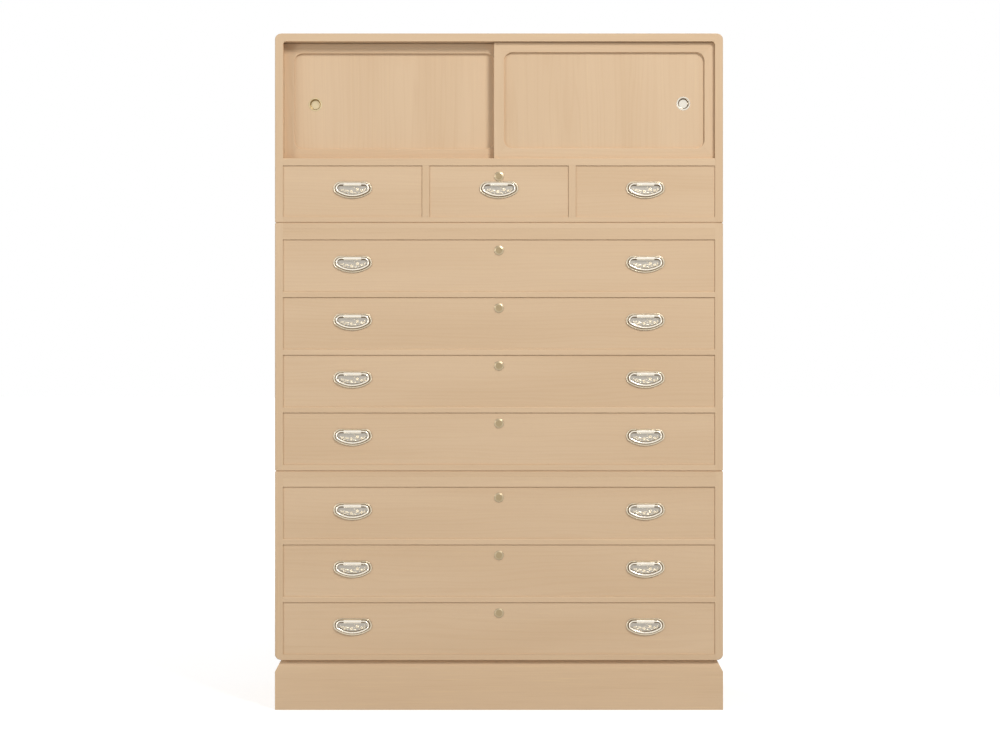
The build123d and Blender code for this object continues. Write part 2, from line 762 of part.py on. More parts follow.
def lock_case():
    """Lock case, let into the back of the front board behind the keyhole."""
    with BuildPart() as lock:
        y_range = (FRONT_THICKNESS - LOCK_DEPTH, FRONT_THICKNESS)
        block((-LOCK_WIDTH / 2, LOCK_WIDTH / 2), y_range, (-LOCK_HEIGHT / 2, LOCK_HEIGHT / 2))
    return labelled("lock_case", lock.part)


def key_cover():
    """Round cover that swings on a rivet through the keyhole plate. Short facets make its rim."""
    back_y = -ESCUTCHEON_THICKNESS - COVER_GAP
    with BuildPart() as cover:
        with BuildSketch(upright(back_y)):
            RegularPolygon(COVER_RADIUS, COVER_FACETS)
        extrude(amount=COVER_THICKNESS)
        chamfer(cover.faces().sort_by(Axis.Y)[0].edges(), COVER_BEVEL)
        with BuildSketch(upright(back_y)):
            with Locations((0, COVER_PIVOT_UP)):
                RegularPolygon(RIVET_RADIUS, RIVET_FACETS)
        extrude(amount=back_y)
    return labelled("key_cover", cover.part)


# ---------------------------------------------------------------- drawers and their fittings, in place


def carried(pieces, x, y, z):
    """Copies of the pieces, moved to a place and with their names kept."""
    return [labelled(piece.label, piece.moved(Location((x, y, z)))) for piece in pieces]


def make_drawer(name, boards, x, floor_z, height, locked, bails):
    """One drawer: its boards, its fixed metal, its bails, and the cover of its keyhole. bails maps each bail's
    node name to its distance from the middle of the front."""
    foot_z = floor_z + DRAWER_RUN_GAP
    handle_z = foot_z + height / 2 + HANDLE_ABOVE_MIDDLE
    key_z = foot_z + height - KEY_BELOW_TOP
    write_node(f"{name}_box", carried(boards, x, DRAWER_Y, foot_z))
    metal = []
    for bail_name, offset in bails.items():
        metal += carried([BACK_PLATE, BARREL], x + offset, DRAWER_Y, handle_z)
        write_node(f"{name}_{bail_name}", carried([BAIL], x + offset, DRAWER_Y, handle_z))
    if locked:
        metal += carried([ESCUTCHEON, LOCK_CASE], x, DRAWER_Y, key_z)
        write_node(f"{name}_key_cover", carried([KEY_COVER], x, DRAWER_Y, key_z))
    write_node(f"{name}_hardware", metal)


def front_height(case):
    """Height of a drawer front in the case's openings."""
    return case.opening - DRAWER_RUN_GAP - DRAWER_GAP


def make_small_drawers():
    """Three small drawers side by side. Only the middle one locks."""
    width, height = SMALL_OPENING_WIDTH - 2 * DRAWER_GAP, front_height(UPPER)
    plain, locked = drawer_box(width, height, False), drawer_box(width, height, True)
    for k, name in enumerate(("small_left_drawer", "small_middle_drawer", "small_right_drawer")):
        has_lock = name == "small_middle_drawer"
        x = (k - (SMALL_DRAWERS - 1) / 2) * SMALL_PITCH
        boards = locked if has_lock else plain
        make_drawer(name, boards, x, drawer_floor(UPPER, 0), height, has_lock, {"bail": 0})


def make_wide_drawers():
    """Seven wide drawers, numbered from the top, each with a lock and two handles."""
    number = MIDDLE_DRAWERS + LOWER_DRAWERS
    bails = {"left_bail": -HANDLE_SPACING / 2, "right_bail": HANDLE_SPACING / 2}
    for case in (LOWER, MIDDLE):
        height = front_height(case)
        boards = drawer_box(INNER_WIDTH - 2 * DRAWER_GAP, height, True)
        for floor in range(case.drawers):
            make_drawer(f"drawer_{number}", boards, 0, drawer_floor(case, floor), height, True, bails)
            number -= 1


# ---------------------------------------------------------------- the whole chest

BACK_PLATE = back_plate()
BARREL = barrel()
BAIL = bail()
ESCUTCHEON = escutcheon()
LOCK_CASE = lock_case()
KEY_COVER = key_cover()

make_plinth()
for chest_case in (LOWER, MIDDLE, UPPER):
    make_case_shell(chest_case)
    make_case_back(chest_case)
    make_case_partitions(chest_case)
make_door("right_door", 1, FRONT_DOOR_Y)
make_door("left_door", -1, REAR_DOOR_Y)
make_small_drawers()
make_wide_drawers()
full_depth = CASE_DEPTH + HANDLE_REACH
print(f"Chest {CHEST_WIDTH:.0f} wide, {full_depth:.1f} deep with handles, {CHEST_HEIGHT:.1f} high")
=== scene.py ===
# %% [markdown]
# # Dressing a paulownia clothing chest
#
# An isho chest keeps folded kimono flat, dry and safe from moths. This one is three plain cases of paulownia,
# stacked on a plinth: sliding doors and three small drawers above, seven wide drawers below, nickel handles all over.
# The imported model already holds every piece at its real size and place. This lesson gives the pieces their looks.

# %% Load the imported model
import json
import math
import random

import bpy
from mathutils import Matrix, Vector


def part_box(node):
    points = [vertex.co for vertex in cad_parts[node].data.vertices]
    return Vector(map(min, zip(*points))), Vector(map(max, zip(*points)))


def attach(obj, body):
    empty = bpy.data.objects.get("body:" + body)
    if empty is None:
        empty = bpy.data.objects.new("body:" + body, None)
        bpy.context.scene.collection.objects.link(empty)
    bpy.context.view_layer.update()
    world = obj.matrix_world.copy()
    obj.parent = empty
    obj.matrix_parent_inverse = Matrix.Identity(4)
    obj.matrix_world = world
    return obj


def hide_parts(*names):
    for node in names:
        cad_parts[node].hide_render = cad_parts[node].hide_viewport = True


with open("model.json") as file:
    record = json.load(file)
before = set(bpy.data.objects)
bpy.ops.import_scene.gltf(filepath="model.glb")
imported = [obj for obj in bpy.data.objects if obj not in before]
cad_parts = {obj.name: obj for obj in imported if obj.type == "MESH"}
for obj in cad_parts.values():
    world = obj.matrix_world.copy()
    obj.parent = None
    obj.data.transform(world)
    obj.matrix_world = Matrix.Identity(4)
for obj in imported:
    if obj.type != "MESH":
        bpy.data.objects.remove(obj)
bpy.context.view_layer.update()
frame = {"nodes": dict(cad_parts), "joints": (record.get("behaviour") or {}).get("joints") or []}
MM = 0.001

# %% [markdown]
# ## Selecting by place
#
# A modeller clicks on the faces and edges to work on. A script picks them by where they lie and which way they face,
# so each helper below takes a small test. An operator acts on all that is selected, and a new primitive comes in
# selected all over, so every step starts by deselecting.

# %% Helpers that select


def activate(piece):
    """Leaves edit mode and makes this piece the only selected one."""
    if bpy.context.mode != "OBJECT":
        bpy.ops.object.mode_set(mode="OBJECT")
    bpy.ops.object.select_all(action="DESELECT")
    if piece:
        piece.select_set(True)
        bpy.context.view_layer.objects.active = piece


def edit(piece, kind="FACE", chosen=lambda *place: True):
    """Goes into edit mode with the chosen faces (middle, normal) or edges (one end, other end) selected."""
    activate(piece)
    bpy.ops.object.mode_set(mode="EDIT")
    bpy.ops.mesh.select_mode(type=kind)
    bpy.ops.mesh.select_all(action="DESELECT")
    bpy.ops.object.mode_set(mode="OBJECT")
    mesh = piece.data
    if kind == "FACE":
        for face in mesh.polygons:
            face.select = chosen(face.center, face.normal)
    else:
        for edge in mesh.edges:
            edge.select = chosen(*(mesh.vertices[i].co for i in edge.vertices))
    bpy.ops.object.mode_set(mode="EDIT")


def near(a, b, slack=0.01 * MM):
    """True where two lengths agree to a hundredth of a millimetre."""
    return abs(a - b) < slack


def ends_at(a, b, **place):
    """True where both ends of an edge lie at the given coordinates."""
    return all(near(getattr(end, axis), value) for end in (a, b) for axis, value in place.items())


# %% [markdown]
# ## Boards
#
# Every board starts as a cube stretched to its size. Its joints are then cut or extruded, and a plane leaves its
# sharp corners eased, because a real arris catches a thin line of light and a perfectly sharp one never does.

# %% Helpers that shape boards
ARRIS = 0.25 * MM


def slab(name, *ranges):
    """A squared block from its ranges in x, y and z, with its place in its mesh."""
    activate(None)
    low, high = map(Vector, zip(*map(sorted, ranges)))
    bpy.ops.mesh.primitive_cube_add(size=1, location=(low + high) / 2)
    block = bpy.context.object
    block.name = block.data.name = name
    block.scale = high - low
    bpy.ops.object.transform_apply()
    return block


def about(middle, half):
    """The range that reaches equally far to both sides of a middle."""
    return middle - half, middle + half


def rod(middle, radius, depth):
    """A round rod that lies from front to back."""
    activate(None)
    bpy.ops.mesh.primitive_cylinder_add(
        vertices=64, radius=radius, depth=depth, location=middle, rotation=(math.radians(90), 0, 0)
    )
    return bpy.context.object


def saw(piece, point, normal, cut_off=False):
    """Draws a saw line round the piece, or cuts off what lies beyond the plane."""
    edit(piece)
    bpy.ops.mesh.bisect(plane_co=point, plane_no=normal, use_fill=cut_off, clear_outer=cut_off)
    activate(piece)


def extrude(piece, chosen, move):
    """Extrudes the chosen faces by a vector."""
    edit(piece, "FACE", chosen)
    bpy.ops.mesh.extrude_region_move(TRANSFORM_OT_translate={"value": move})
    activate(piece)


def round_edges(piece, chosen, radius, segments):
    """Rounds the chosen edges."""
    edit(piece, "EDGE", chosen)
    bpy.ops.mesh.bevel(offset=radius, segments=segments, affect="EDGES", clamp_overlap=False)
    activate(piece)


def shade(piece, angle=35):
    """Shades curves as smooth. Weighted normals keep the large faces flat right up to their eased edges."""
    activate(piece)
    bpy.ops.object.shade_smooth_by_angle(angle=math.radians(angle))
    weighted = piece.modifiers.new("flat faces", "WEIGHTED_NORMAL")
    weighted.keep_sharp = True
    bpy.ops.object.modifier_apply(modifier=weighted.name)


def ease(piece, width=ARRIS, segments=2, flush=lambda a, b: False):
    """Eases every corner sharper than 50 degrees, but not the edges of joints that are planed flush."""
    edit(piece, "EDGE", lambda a, b: False)
    bpy.ops.mesh.edges_select_sharp(sharpness=math.radians(50))
    activate(piece)
    ends = [vertex.co for vertex in piece.data.vertices]
    for edge in piece.data.edges:
        edge.select = edge.select and not flush(*(ends[i] for i in edge.vertices))
    bpy.ops.object.mode_set(mode="EDIT")
    bpy.ops.mesh.bevel(offset=width, segments=segments, affect="EDGES", clamp_overlap=True)
    shade(piece)


def cut(piece, cutter):
    """Takes the cutter's shape out of the piece, and throws the cutter away."""
    activate(piece)
    hole = piece.modifiers.new("hole", "BOOLEAN")
    hole.object = cutter
    hole.solver = "EXACT"
    bpy.ops.object.modifier_apply(modifier=hole.name)
    bpy.data.objects.remove(cutter)


def join(name, pieces):
    """One piece from several."""
    activate(pieces[0])
    for piece in pieces:
        piece.select_set(True)
    bpy.ops.object.join()
    pieces[0].name = pieces[0].data.name = name
    return pieces[0]


def copy_of(piece, name, place):
    """A copy with its own mesh, moved to a place."""
    other = piece.copy()
    other.data = piece.data.copy()
    other.name = other.data.name = name
    other.data.transform(Matrix.Translation(place))
    bpy.context.scene.collection.objects.link(other)
    return other


# %% [markdown]
# ## One node at a time
#
# A procedural material is a small network. This one helper adds a node, sets it and links it, whatever its kind.
# Colours are written as they look on a screen, and one function turns them into the linear values that light obeys.

# %% Helpers for materials


def colour(hex_code):
    """Linear colour from an sRGB hex code."""
    channels = [int(hex_code[i : i + 2], 16) / 255 for i in (0, 2, 4)]
    linear = [c / 12.92 if c <= 0.04045 else ((c + 0.055) / 1.055) ** 2.4 for c in channels]
    return (*linear, 1)


def add_node(tree, kind, inputs=None, **settings):
    """Adds a node. Each input is a value, or is linked to a socket or to a node's first output."""
    node = tree.nodes.new(kind)
    for name, value in settings.items():
        setattr(node, name, value)
    for name, value in (inputs or {}).items():
        if isinstance(value, bpy.types.Node):
            value = value.outputs[0]
        if isinstance(value, bpy.types.NodeSocket):
            tree.links.new(value, node.inputs[name])
        else:
            node.inputs[name].default_value = value
    return node


def new_material(name, **values):
    """A material with its Principled shader's plain values set. Returns it with its tree and shader."""
    material = bpy.data.materials.new(name)
    material.use_nodes = True
    shader = material.node_tree.nodes["Principled BSDF"]
    for socket, value in values.items():
        shader.inputs[socket.replace("_", " ")].default_value = value
    return material, material.node_tree, shader


def set_ramp(node, stops):
    """Gives a Color Ramp its stops: (position, hex code) from left to right."""
    ramp = node.color_ramp
    while len(ramp.elements) < len(stops):
        ramp.elements.new(1)
    for element, (position, code) in zip(ramp.elements, stops):
        element.position = position
        element.color = colour(code)


def coat(piece, number):
    """Gives the selected faces the piece's finish of this number."""
    piece.active_material_index = number
    bpy.ops.object.material_slot_assign()


# %% [markdown]
# ## Paulownia, planed and toned
#
# Kiri is a pale, very light wood. Chest makers rub it with clay and yasha dye, which leaves a dry, even tan with the
# growth rings as faint darker lines. The pattern is solid: rings round a pith that runs along the grain, bent a
# little by slow noise, with fine fibres on top. Each board carries an attribute with its own place in the log, so
# faces show long lines, ends show arcs, and no two boards match. The calmest boards go into the doors and drawers,
# and the cases get the same wood with stronger fibres.

# %% The paulownia material
GRAIN = "grain"
RING_PITCH = 9 * MM
WAVE_UNIT = math.tau / 20  # the scale at which a wave texture draws one ring to the metre
RING_WANDER = 50 * MM
RING_UNEVENNESS = 14.0
# How many times a slow change comes and goes in a metre, along the log and across it both ways.
WANDERS, UNEVEN_PATCHES, TONES = (1.6, 7, 7), (0.4, 70, 70), (1.1, 9, 9)
FIBRE_WIDTH = 2.4 * MM  # drawn coarser than the real 0.3 mm, so that it shows
FIBRE_LENGTH = 160 * MM
FIBRE_DEPTH = 0.2 * MM
TONE_SHARE = 0.4
MIX_A, MIX_B, MIXED = 6, 7, 2  # where a Mix node takes and gives colours


def paulownia(name, own_place=True, streaks=0.42):
    """Toned kiri. Boards read their own place in the log; a plain panel reads its Object coordinates."""
    material, tree, shader = new_material(name, Roughness=0.7, Specular_IOR_Level=0.25)
    if own_place:
        place = add_node(tree, "ShaderNodeAttribute", attribute_name=GRAIN).outputs["Vector"]
    else:
        place = add_node(tree, "ShaderNodeTexCoord").outputs["Object"]

    def noise(scale, detail, roughness=0.5, along=place):
        stretched = add_node(tree, "ShaderNodeVectorMath", {0: along, 1: scale}, operation="MULTIPLY")
        sockets = {"Vector": stretched, "Scale": 1.0, "Detail": detail, "Roughness": roughness}
        return add_node(tree, "ShaderNodeTexNoise", sockets)

    drift = noise(WANDERS, detail=2).outputs["Color"]
    centred = add_node(tree, "ShaderNodeVectorMath", {0: drift, 1: (0.5,) * 3}, operation="SUBTRACT")
    wander = (0, RING_WANDER, RING_WANDER)
    bend = add_node(tree, "ShaderNodeVectorMath", {0: centred, 1: wander}, operation="MULTIPLY")
    bent = add_node(tree, "ShaderNodeVectorMath", {0: place, 1: bend}, operation="ADD")
    uneven = noise(UNEVEN_PATCHES, detail=1, along=bent)
    shift = add_node(tree, "ShaderNodeMath", {0: uneven, 1: RING_UNEVENNESS}, operation="MULTIPLY")
    sockets = {"Vector": bent, "Scale": WAVE_UNIT / RING_PITCH, "Phase Offset": shift}
    rings = add_node(tree, "ShaderNodeTexWave", sockets, wave_type="RINGS", rings_direction="X")
    fibres = noise((1 / FIBRE_LENGTH, 1 / FIBRE_WIDTH, 1 / FIBRE_WIDTH), detail=4, roughness=0.62)
    tone = noise(TONES, detail=2)

    ramps = []
    for pattern, stops in (
        (rings, [(0.0, "dbbe9c"), (0.6, "dabd9b"), (1.0, "d6b794")]),
        (fibres, [(0.28, "d0b08c"), (0.42, "d9bc9a"), (0.6, "dbbe9b"), (0.72, "e6cb9e")]),
        (tone, [(0.35, "d3b491"), (0.65, "e0c4a3")]),
    ):
        ramps.append(add_node(tree, "ShaderNodeValToRGB", {0: pattern}))
        set_ramp(ramps[-1], stops)
    mixed, fibre_colour, tone_colour = ramps
    for share, other in ((streaks, fibre_colour), (TONE_SHARE, tone_colour)):
        sockets = {"Factor": share, MIX_A: mixed, MIX_B: other}
        mixed = add_node(tree, "ShaderNodeMix", sockets, data_type="RGBA").outputs[MIXED]
    tree.links.new(mixed, shader.inputs["Base Color"])
    bump = add_node(tree, "ShaderNodeBump", {"Height": fibres, "Strength": 0.12, "Distance": FIBRE_DEPTH})
    tree.links.new(bump.outputs[0], shader.inputs["Normal"])
    return material


# A dry, even tan with faint lines: doors and drawers read as calm, smooth fields.
KIRI = paulownia("toned_paulownia")
# The same tan with livelier streaks: cases and plinth stand out from the drawers as their frame.
KIRI_CASE = paulownia("toned_paulownia_case", streaks=0.85)
# The calm tan once more, for the backs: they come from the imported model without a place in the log.
KIRI_PANEL = paulownia("toned_paulownia_panel", own_place=False)

# %% [markdown]
# A board is sawn from somewhere in the log. Its attribute turns the coordinates so that x runs along the grain and z
# across the face that shows, then moves them to a random place. The pith lies half a metre off in z, which gives the
# nearly straight lines of a quarter-sawn face.

# %% Laying the grain
log_place = random.Random(23)
AXES = "XYZ"
LOG_SPREAD = ((-9, 9), (-0.06, 0.06), (0.44, 0.56))  # metres along the log, beside its pith and away from it


def lay_grain(board, along, across):
    """Writes the board's coordinates in the log: x along the grain, z across the face that shows."""
    third = next(axis for axis in AXES if axis not in (along, across))
    order = [AXES.index(axis) for axis in (along, third, across)]
    shift = Vector([log_place.uniform(*spread) for spread in LOG_SPREAD])
    if GRAIN in board.data.attributes:
        board.data.attributes.remove(board.data.attributes[GRAIN])
    grain = board.data.attributes.new(GRAIN, "FLOAT_VECTOR", "POINT")
    for vertex, item in zip(board.data.vertices, grain.data):
        item.vector = Vector([vertex.co[i] for i in order]) + shift


def finish_board(board, body, node, along, across):
    """Gives a shaped board its grain, its finish, its body and the CAD node that it stands for."""
    lay_grain(board, along, across)
    board.data.materials.clear()
    board.data.materials.append(KIRI_CASE if body == "root" else KIRI)
    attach(board, body)
    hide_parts(node)


# %% [markdown]
# ## The cases
#
# Each case is four boards combed together at the corners, as a carcass of solid wood should be: glue alone would
# shear. Every board starts as the stretch between its neighbours. Two saw lines divide it into three. A side then gets
# its outer thirds extruded as fingers, and an end board its middle third, so that they always fit. The outermost
# corners of the stack are rounded, which protects the thin wood.

# %% Sizes read from the frame
CASES = ("lower_case", "middle_case", "upper_case")
HANDS = ((-1, "left"), (1, "right"))
CORNER_RADIUS = 14 * MM
OUTER_ARRIS = 2 * MM
GAP_HEIGHT = 2.8 * MM
GAP_DEPTH = 2.2 * MM
shell_low, shell_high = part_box("upper_case_shell")
FRONT_Y, BACK_Y = shell_low.y, shell_high.y
back_low, back_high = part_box("upper_case_back")
HALF_INNER = back_high.x
HALF_OUTER = shell_high.x
SIDE = HALF_OUTER - HALF_INNER
print(f"side boards are {SIDE / MM:.0f} mm thick")

# %% Case boards, combed at the corners
X, Y, Z = Vector((1, 0, 0)), Vector((0, 1, 0)), Vector((0, 0, 1))
full_width, case_depth = (-HALF_INNER, HALF_INNER), (FRONT_Y, BACK_Y)
case_boards = {}
OUTER_FINGERS, CENTRE_FINGER = False, True


def comb(board, axis, length, fingers, *moves):
    """Saws a board into thirds along an axis. Each move extrudes its centre finger, or its two outer ones."""
    low, high = length
    lines = (low + (high - low) / 3, high - (high - low) / 3)
    for line in lines:
        saw(board, axis * line, axis)
    for move in moves:
        way = move.normalized()

        def is_finger(middle, normal):
            return normal.dot(way) > 0.9 and (lines[0] < middle.dot(axis) < lines[1]) == fingers

        extrude(board, is_finger, move)


for case in CASES:
    low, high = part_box(f"{case}_shell")
    inner_low, inner_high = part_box(f"{case}_back")
    for hand, name in HANDS:
        x_range = (hand * HALF_INNER, hand * HALF_OUTER)
        side = slab(f"{case}_{name}_side", x_range, case_depth, (inner_low.z, inner_high.z))
        comb(side, Y, case_depth, OUTER_FINGERS, Z * (high.z - inner_high.z), Z * (low.z - inner_low.z))
        case_boards[case, f"{name}_side"] = side
    for name, z_range in (("bottom_board", (low.z, inner_low.z)), ("top_board", (inner_high.z, high.z))):
        end = slab(f"{case}_{name}", full_width, case_depth, z_range)
        comb(end, Y, case_depth, CENTRE_FINGER, X * -SIDE, X * SIDE)
        case_boards[case, name] = end
print("case boards:", len(case_boards))

# %% [markdown]
# Two shallow grooves in the doors' floor guide their lower tongues, and two deeper ones in the top board take the
# upper tongues, so a door can be lifted, swung out at the bottom and taken away. A quarter circle of wood softens
# each upper corner of the opening, just in front of the doors.

# %% Grooves and inner corners
TONGUE = 8 * MM
GROOVE_GAP = 0.5 * MM
CEILING_GROOVE = 9 * MM
INNER_CORNER_RADIUS = 8 * MM
INNER_CORNER_DEPTH = 8 * MM
DOORS = ("left_door", "right_door")
door_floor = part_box("upper_case_partitions")[1].z
door_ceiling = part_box("upper_case_back")[1].z


def cut_grooves(board, level, depth):
    """Cuts one groove behind the other for the two doors."""
    for door in DOORS:
        low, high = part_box(door)
        y_range = about((low.y + high.y) / 2, TONGUE / 2 + GROOVE_GAP)
        cut(board, slab("groove", full_width, y_range, about(level, depth)))


def round_inner_corner(side, hand):
    """Adds the quarter circle in the door opening's upper corner to a side board."""
    centre_x, centre_z = hand * (HALF_INNER - INNER_CORNER_RADIUS), door_ceiling - INNER_CORNER_RADIUS
    y_range = (FRONT_Y, FRONT_Y + INNER_CORNER_DEPTH)
    corner = slab("inner_corner", (hand * HALF_INNER, centre_x), y_range, (centre_z, door_ceiling))
    cut(corner, rod((centre_x, FRONT_Y, centre_z), INNER_CORNER_RADIUS, 4 * INNER_CORNER_DEPTH))
    join(side.name, [side, corner])


cut_grooves(case_boards["upper_case", "top_board"], door_ceiling, CEILING_GROOVE)
for hand, name in HANDS:
    round_inner_corner(case_boards["upper_case", f"{name}_side"], hand)
print(f"door opening: {(door_ceiling - door_floor) / MM:.0f} mm high")

# %% [markdown]
# Cutting comes first and easing last, as at the bench. Where two cases meet, a small rebate round the lower one's top
# edge leaves a shadow gap, which hides any unevenness between them. At the front the boards are planed flush after
# gluing: those joints get no eased edge and all but disappear.

# %% Rounding, easing and grain
RAIL_TOPS = [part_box(f"{case}_back")[1].z for case in ("lower_case", "middle_case")]


def flush_joint(a, b):
    """True on the front, where a board ends against a side, or a rail meets the top board over it."""
    at_side = near(abs(a.x), HALF_INNER) and near(abs(b.x), HALF_INNER)
    return ends_at(a, b, y=FRONT_Y) and (at_side or any(ends_at(a, b, z=top) for top in RAIL_TOPS))


def cut_shadow_gap(board, top):
    """Cuts a small rebate along the front and both sides of a case's top edge."""
    beyond = 10 * MM
    outside, z_range = HALF_OUTER + beyond, (top - GAP_HEIGHT, top + beyond)
    cut(board, slab("gap", (-outside, outside), (FRONT_Y - beyond, FRONT_Y + GAP_DEPTH), z_range))
    for hand, _ in HANDS:
        x_range = (hand * (HALF_OUTER - GAP_DEPTH), hand * outside)
        cut(board, slab("gap", x_range, (FRONT_Y - beyond, BACK_Y + beyond), z_range))


def soften_case_board(board, case):
    """Rounds the stack's outer corners, cuts the shadow gap and then eases every other corner."""
    case_low, case_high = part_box(f"{case}_shell")
    rounded_z = {"lower_case": case_low.z, "upper_case": case_high.z}.get(case)

    def on_corner(a, b):
        return ends_at(a, b, z=rounded_z) and all(near(abs(end.x), HALF_OUTER) for end in (a, b))

    def on_outline(a, b):
        return ends_at(a, b, y=FRONT_Y) and min(abs(a.x), abs(b.x)) > HALF_INNER + 1 * MM

    if rounded_z is not None:
        round_edges(board, on_corner, CORNER_RADIUS, 8)
    if "side" in board.name:
        round_edges(board, on_outline, OUTER_ARRIS, 3)
    if case != "upper_case":
        cut_shadow_gap(board, case_high.z)
    ease(board, flush=flush_joint)


for (case, name), board in case_boards.items():
    soften_case_board(board, case)
    along = "Z" if name.endswith("side") else "X"
    across = "Y" if name != "bottom_board" else "Z"
    finish_board(board, "root", f"{case}_shell", along, across)
for case in CASES:
    back = frame["nodes"][f"{case}_back"]
    back.data.materials.clear()
    back.data.materials.append(KIRI_PANEL)

# %% [markdown]
# ## Between the drawers
#
# Thin full-depth boards carry the drawers and keep dust out. Only their front edges show on the closed chest. Under
# the top board of the two lower cases a rail closes the front, and two strips behind it stop the drawer from tipping.
# Every drawer needs a little air, so each opening is taken from its drawer and the gaps round it.

# %% Dust boards, rails and dividers
RUN_GAP = 0.3 * MM
DRAWER_GAP = 0.8 * MM
RAIL_DEPTH = 30 * MM
KICKER_WIDTH = 25 * MM
TOP_ARRIS = 2.3 * MM
full_depth = (FRONT_Y, back_low.y)
CASE_DRAWERS = {
    "lower_case": ("drawer_7", "drawer_6", "drawer_5"),
    "middle_case": ("drawer_4", "drawer_3", "drawer_2", "drawer_1"),
}


def opening(drawer):
    """Floor and ceiling of a drawer's opening."""
    low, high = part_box(f"{drawer}_box")
    return low.z - RUN_GAP, high.z + DRAWER_GAP


def soften_top_arris(board, top):
    """Planes the upper front corner rounder than the others: it is the edge that hands brush past."""
    round_edges(board, lambda a, b: ends_at(a, b, y=FRONT_Y, z=top), TOP_ARRIS, 3)


def partition(name, case, x_range, y_range, z_range, along="X", across="Z"):
    """A plain board inside a case."""
    board = slab(f"{case}_{name}", x_range, y_range, z_range)
    if along == "X" and "rail" not in name:
        soften_top_arris(board, z_range[1])
    ease(board, flush=flush_joint)
    finish_board(board, "root", f"{case}_partitions", along, across)


for case, drawers in CASE_DRAWERS.items():
    for number, (below, above) in enumerate(zip(drawers, drawers[1:]), 1):
        partition(f"dust_board_{number}", case, full_width, full_depth, (opening(below)[1], opening(above)[0]))
    rail_z = (opening(drawers[-1])[1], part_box(f"{case}_back")[1].z)
    rail_back = FRONT_Y + RAIL_DEPTH
    partition("top_rail", case, full_width, (FRONT_Y, rail_back), rail_z)
    for hand, name in HANDS:
        x_range = (hand * HALF_INNER, hand * (HALF_INNER - KICKER_WIDTH))
        partition(f"{name}_kicker", case, x_range, (rail_back, back_low.y), rail_z, "Y")

small_boxes = [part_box(f"small_{place}_drawer_box") for place in ("left", "middle", "right")]
for (_, name), (left_box, right_box) in zip(HANDS, zip(small_boxes, small_boxes[1:])):
    x_range = (left_box[1].x + DRAWER_GAP, right_box[0].x - DRAWER_GAP)
    partition(f"{name}_divider", "upper_case", x_range, full_depth, opening("small_middle_drawer"), "Z", "Y")

# %% [markdown]
# The shelf over the small drawers is the doors' floor, with the two shallow grooves in it.

# %% The doors' floor
FLOOR_GROOVE = 3.5 * MM
shelf_z = (opening("small_middle_drawer")[1], door_floor)
shelf = slab("upper_case_shelf", full_width, full_depth, shelf_z)
cut_grooves(shelf, door_floor, FLOOR_GROOVE)
soften_top_arris(shelf, door_floor)
ease(shelf, flush=flush_joint)
finish_board(shelf, "root", "upper_case_partitions", "X", "Z")
print(f"shelf: {(shelf_z[1] - shelf_z[0]) / MM:.1f} mm thick")

# %% [markdown]
# ## Plinth
#
# The plinth lifts the chest off the mats, so air gets under it and fingers get a hold. Its four boards are mitred, and
# a wide bevel leads from the case down to the full thickness. A block glued into each corner keeps the mitres shut.

# %% Plinth boards and corner blocks
BEVEL_IN = 14 * MM
BEVEL_DOWN = 27.5 * MM
PLINTH_THICKNESS = 30 * MM
PLINTH_ARRIS = 0.4 * MM
CORNER_BLOCK = 45 * MM
CORNER_BLOCK_GAP = 6 * MM
plinth_low, plinth_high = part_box("plinth")
plinth_middle = (plinth_low + plinth_high) / 2
plinth_height = plinth_high.z
for name, out, run, along, across in (
    ("front", -Y, X, "X", "Y"),
    ("back", Y, X, "X", "Y"),
    ("left", -X, Y, "Y", "X"),
    ("right", X, Y, "Y", "X"),
):
    reach = abs(out.dot(plinth_high - plinth_middle))
    half_length = run.dot(plinth_high - plinth_middle)
    face = Vector((plinth_middle.x, plinth_middle.y, 0)) + out * reach
    x_range, y_range, _ = zip(face - run * half_length, face + run * half_length - out * PLINTH_THICKNESS)
    board = slab(f"plinth_{name}_board", x_range, y_range, (0, plinth_height))
    bevel_start = face + Z * (plinth_height - BEVEL_DOWN)
    saw(board, bevel_start, out * BEVEL_DOWN + Z * BEVEL_IN, cut_off=True)
    for end in (-1, 1):
        saw(board, face + run * half_length * end, run * end - out, cut_off=True)
    ease(board, PLINTH_ARRIS)
    finish_board(board, "root", "plinth", along, across)

inner_x = plinth_high.x - PLINTH_THICKNESS
block_z = (CORNER_BLOCK_GAP, plinth_height - CORNER_BLOCK_GAP)
for x_sign, y_sign in ((-1, -1), (1, -1), (-1, 1), (1, 1)):
    inner_y = plinth_high.y - PLINTH_THICKNESS if y_sign > 0 else plinth_low.y + PLINTH_THICKNESS
    far_y = inner_y - y_sign * CORNER_BLOCK
    x_range = (x_sign * inner_x, x_sign * (inner_x - CORNER_BLOCK))
    block = slab("plinth_corner_block", x_range, (inner_y, far_y), block_z)
    saw(block, (x_sign * inner_x, far_y, 0), (-x_sign, -y_sign, 0), cut_off=True)
    ease(block, PLINTH_ARRIS)
    finish_board(block, "root", "plinth", "Z", "Y")
print(f"plinth: {plinth_height / MM:.0f} mm high, bevel {BEVEL_IN / MM:.0f} mm in")

# %% [markdown]
# ## Sliding doors
#
# A door is a mitred frame round a thin sunk panel, which can swell and shrink with the seasons. The opening has round
# corners with a moulded edge. The frame is shaped as one ring and then sawn into its members, so that the mouldings
# meet exactly, and each member takes its own grain. The ring stops short of the ceiling: a door that is to be lifted
# out needs air over it, and that air shows as a dark line.

# %% The moulded ring
DOOR_FRAME = 24 * MM
DOOR_THICKNESS = 16 * MM
PANEL_SINK = 6 * MM
PANEL_LAP = 8 * MM
PANEL_THICKNESS = 9 * MM
DOOR_CORNER = 20 * MM
MOULDING = 1.5 * MM
EDGE_GAP = 0.8 * MM
LIFT_GAP = 1.6 * MM


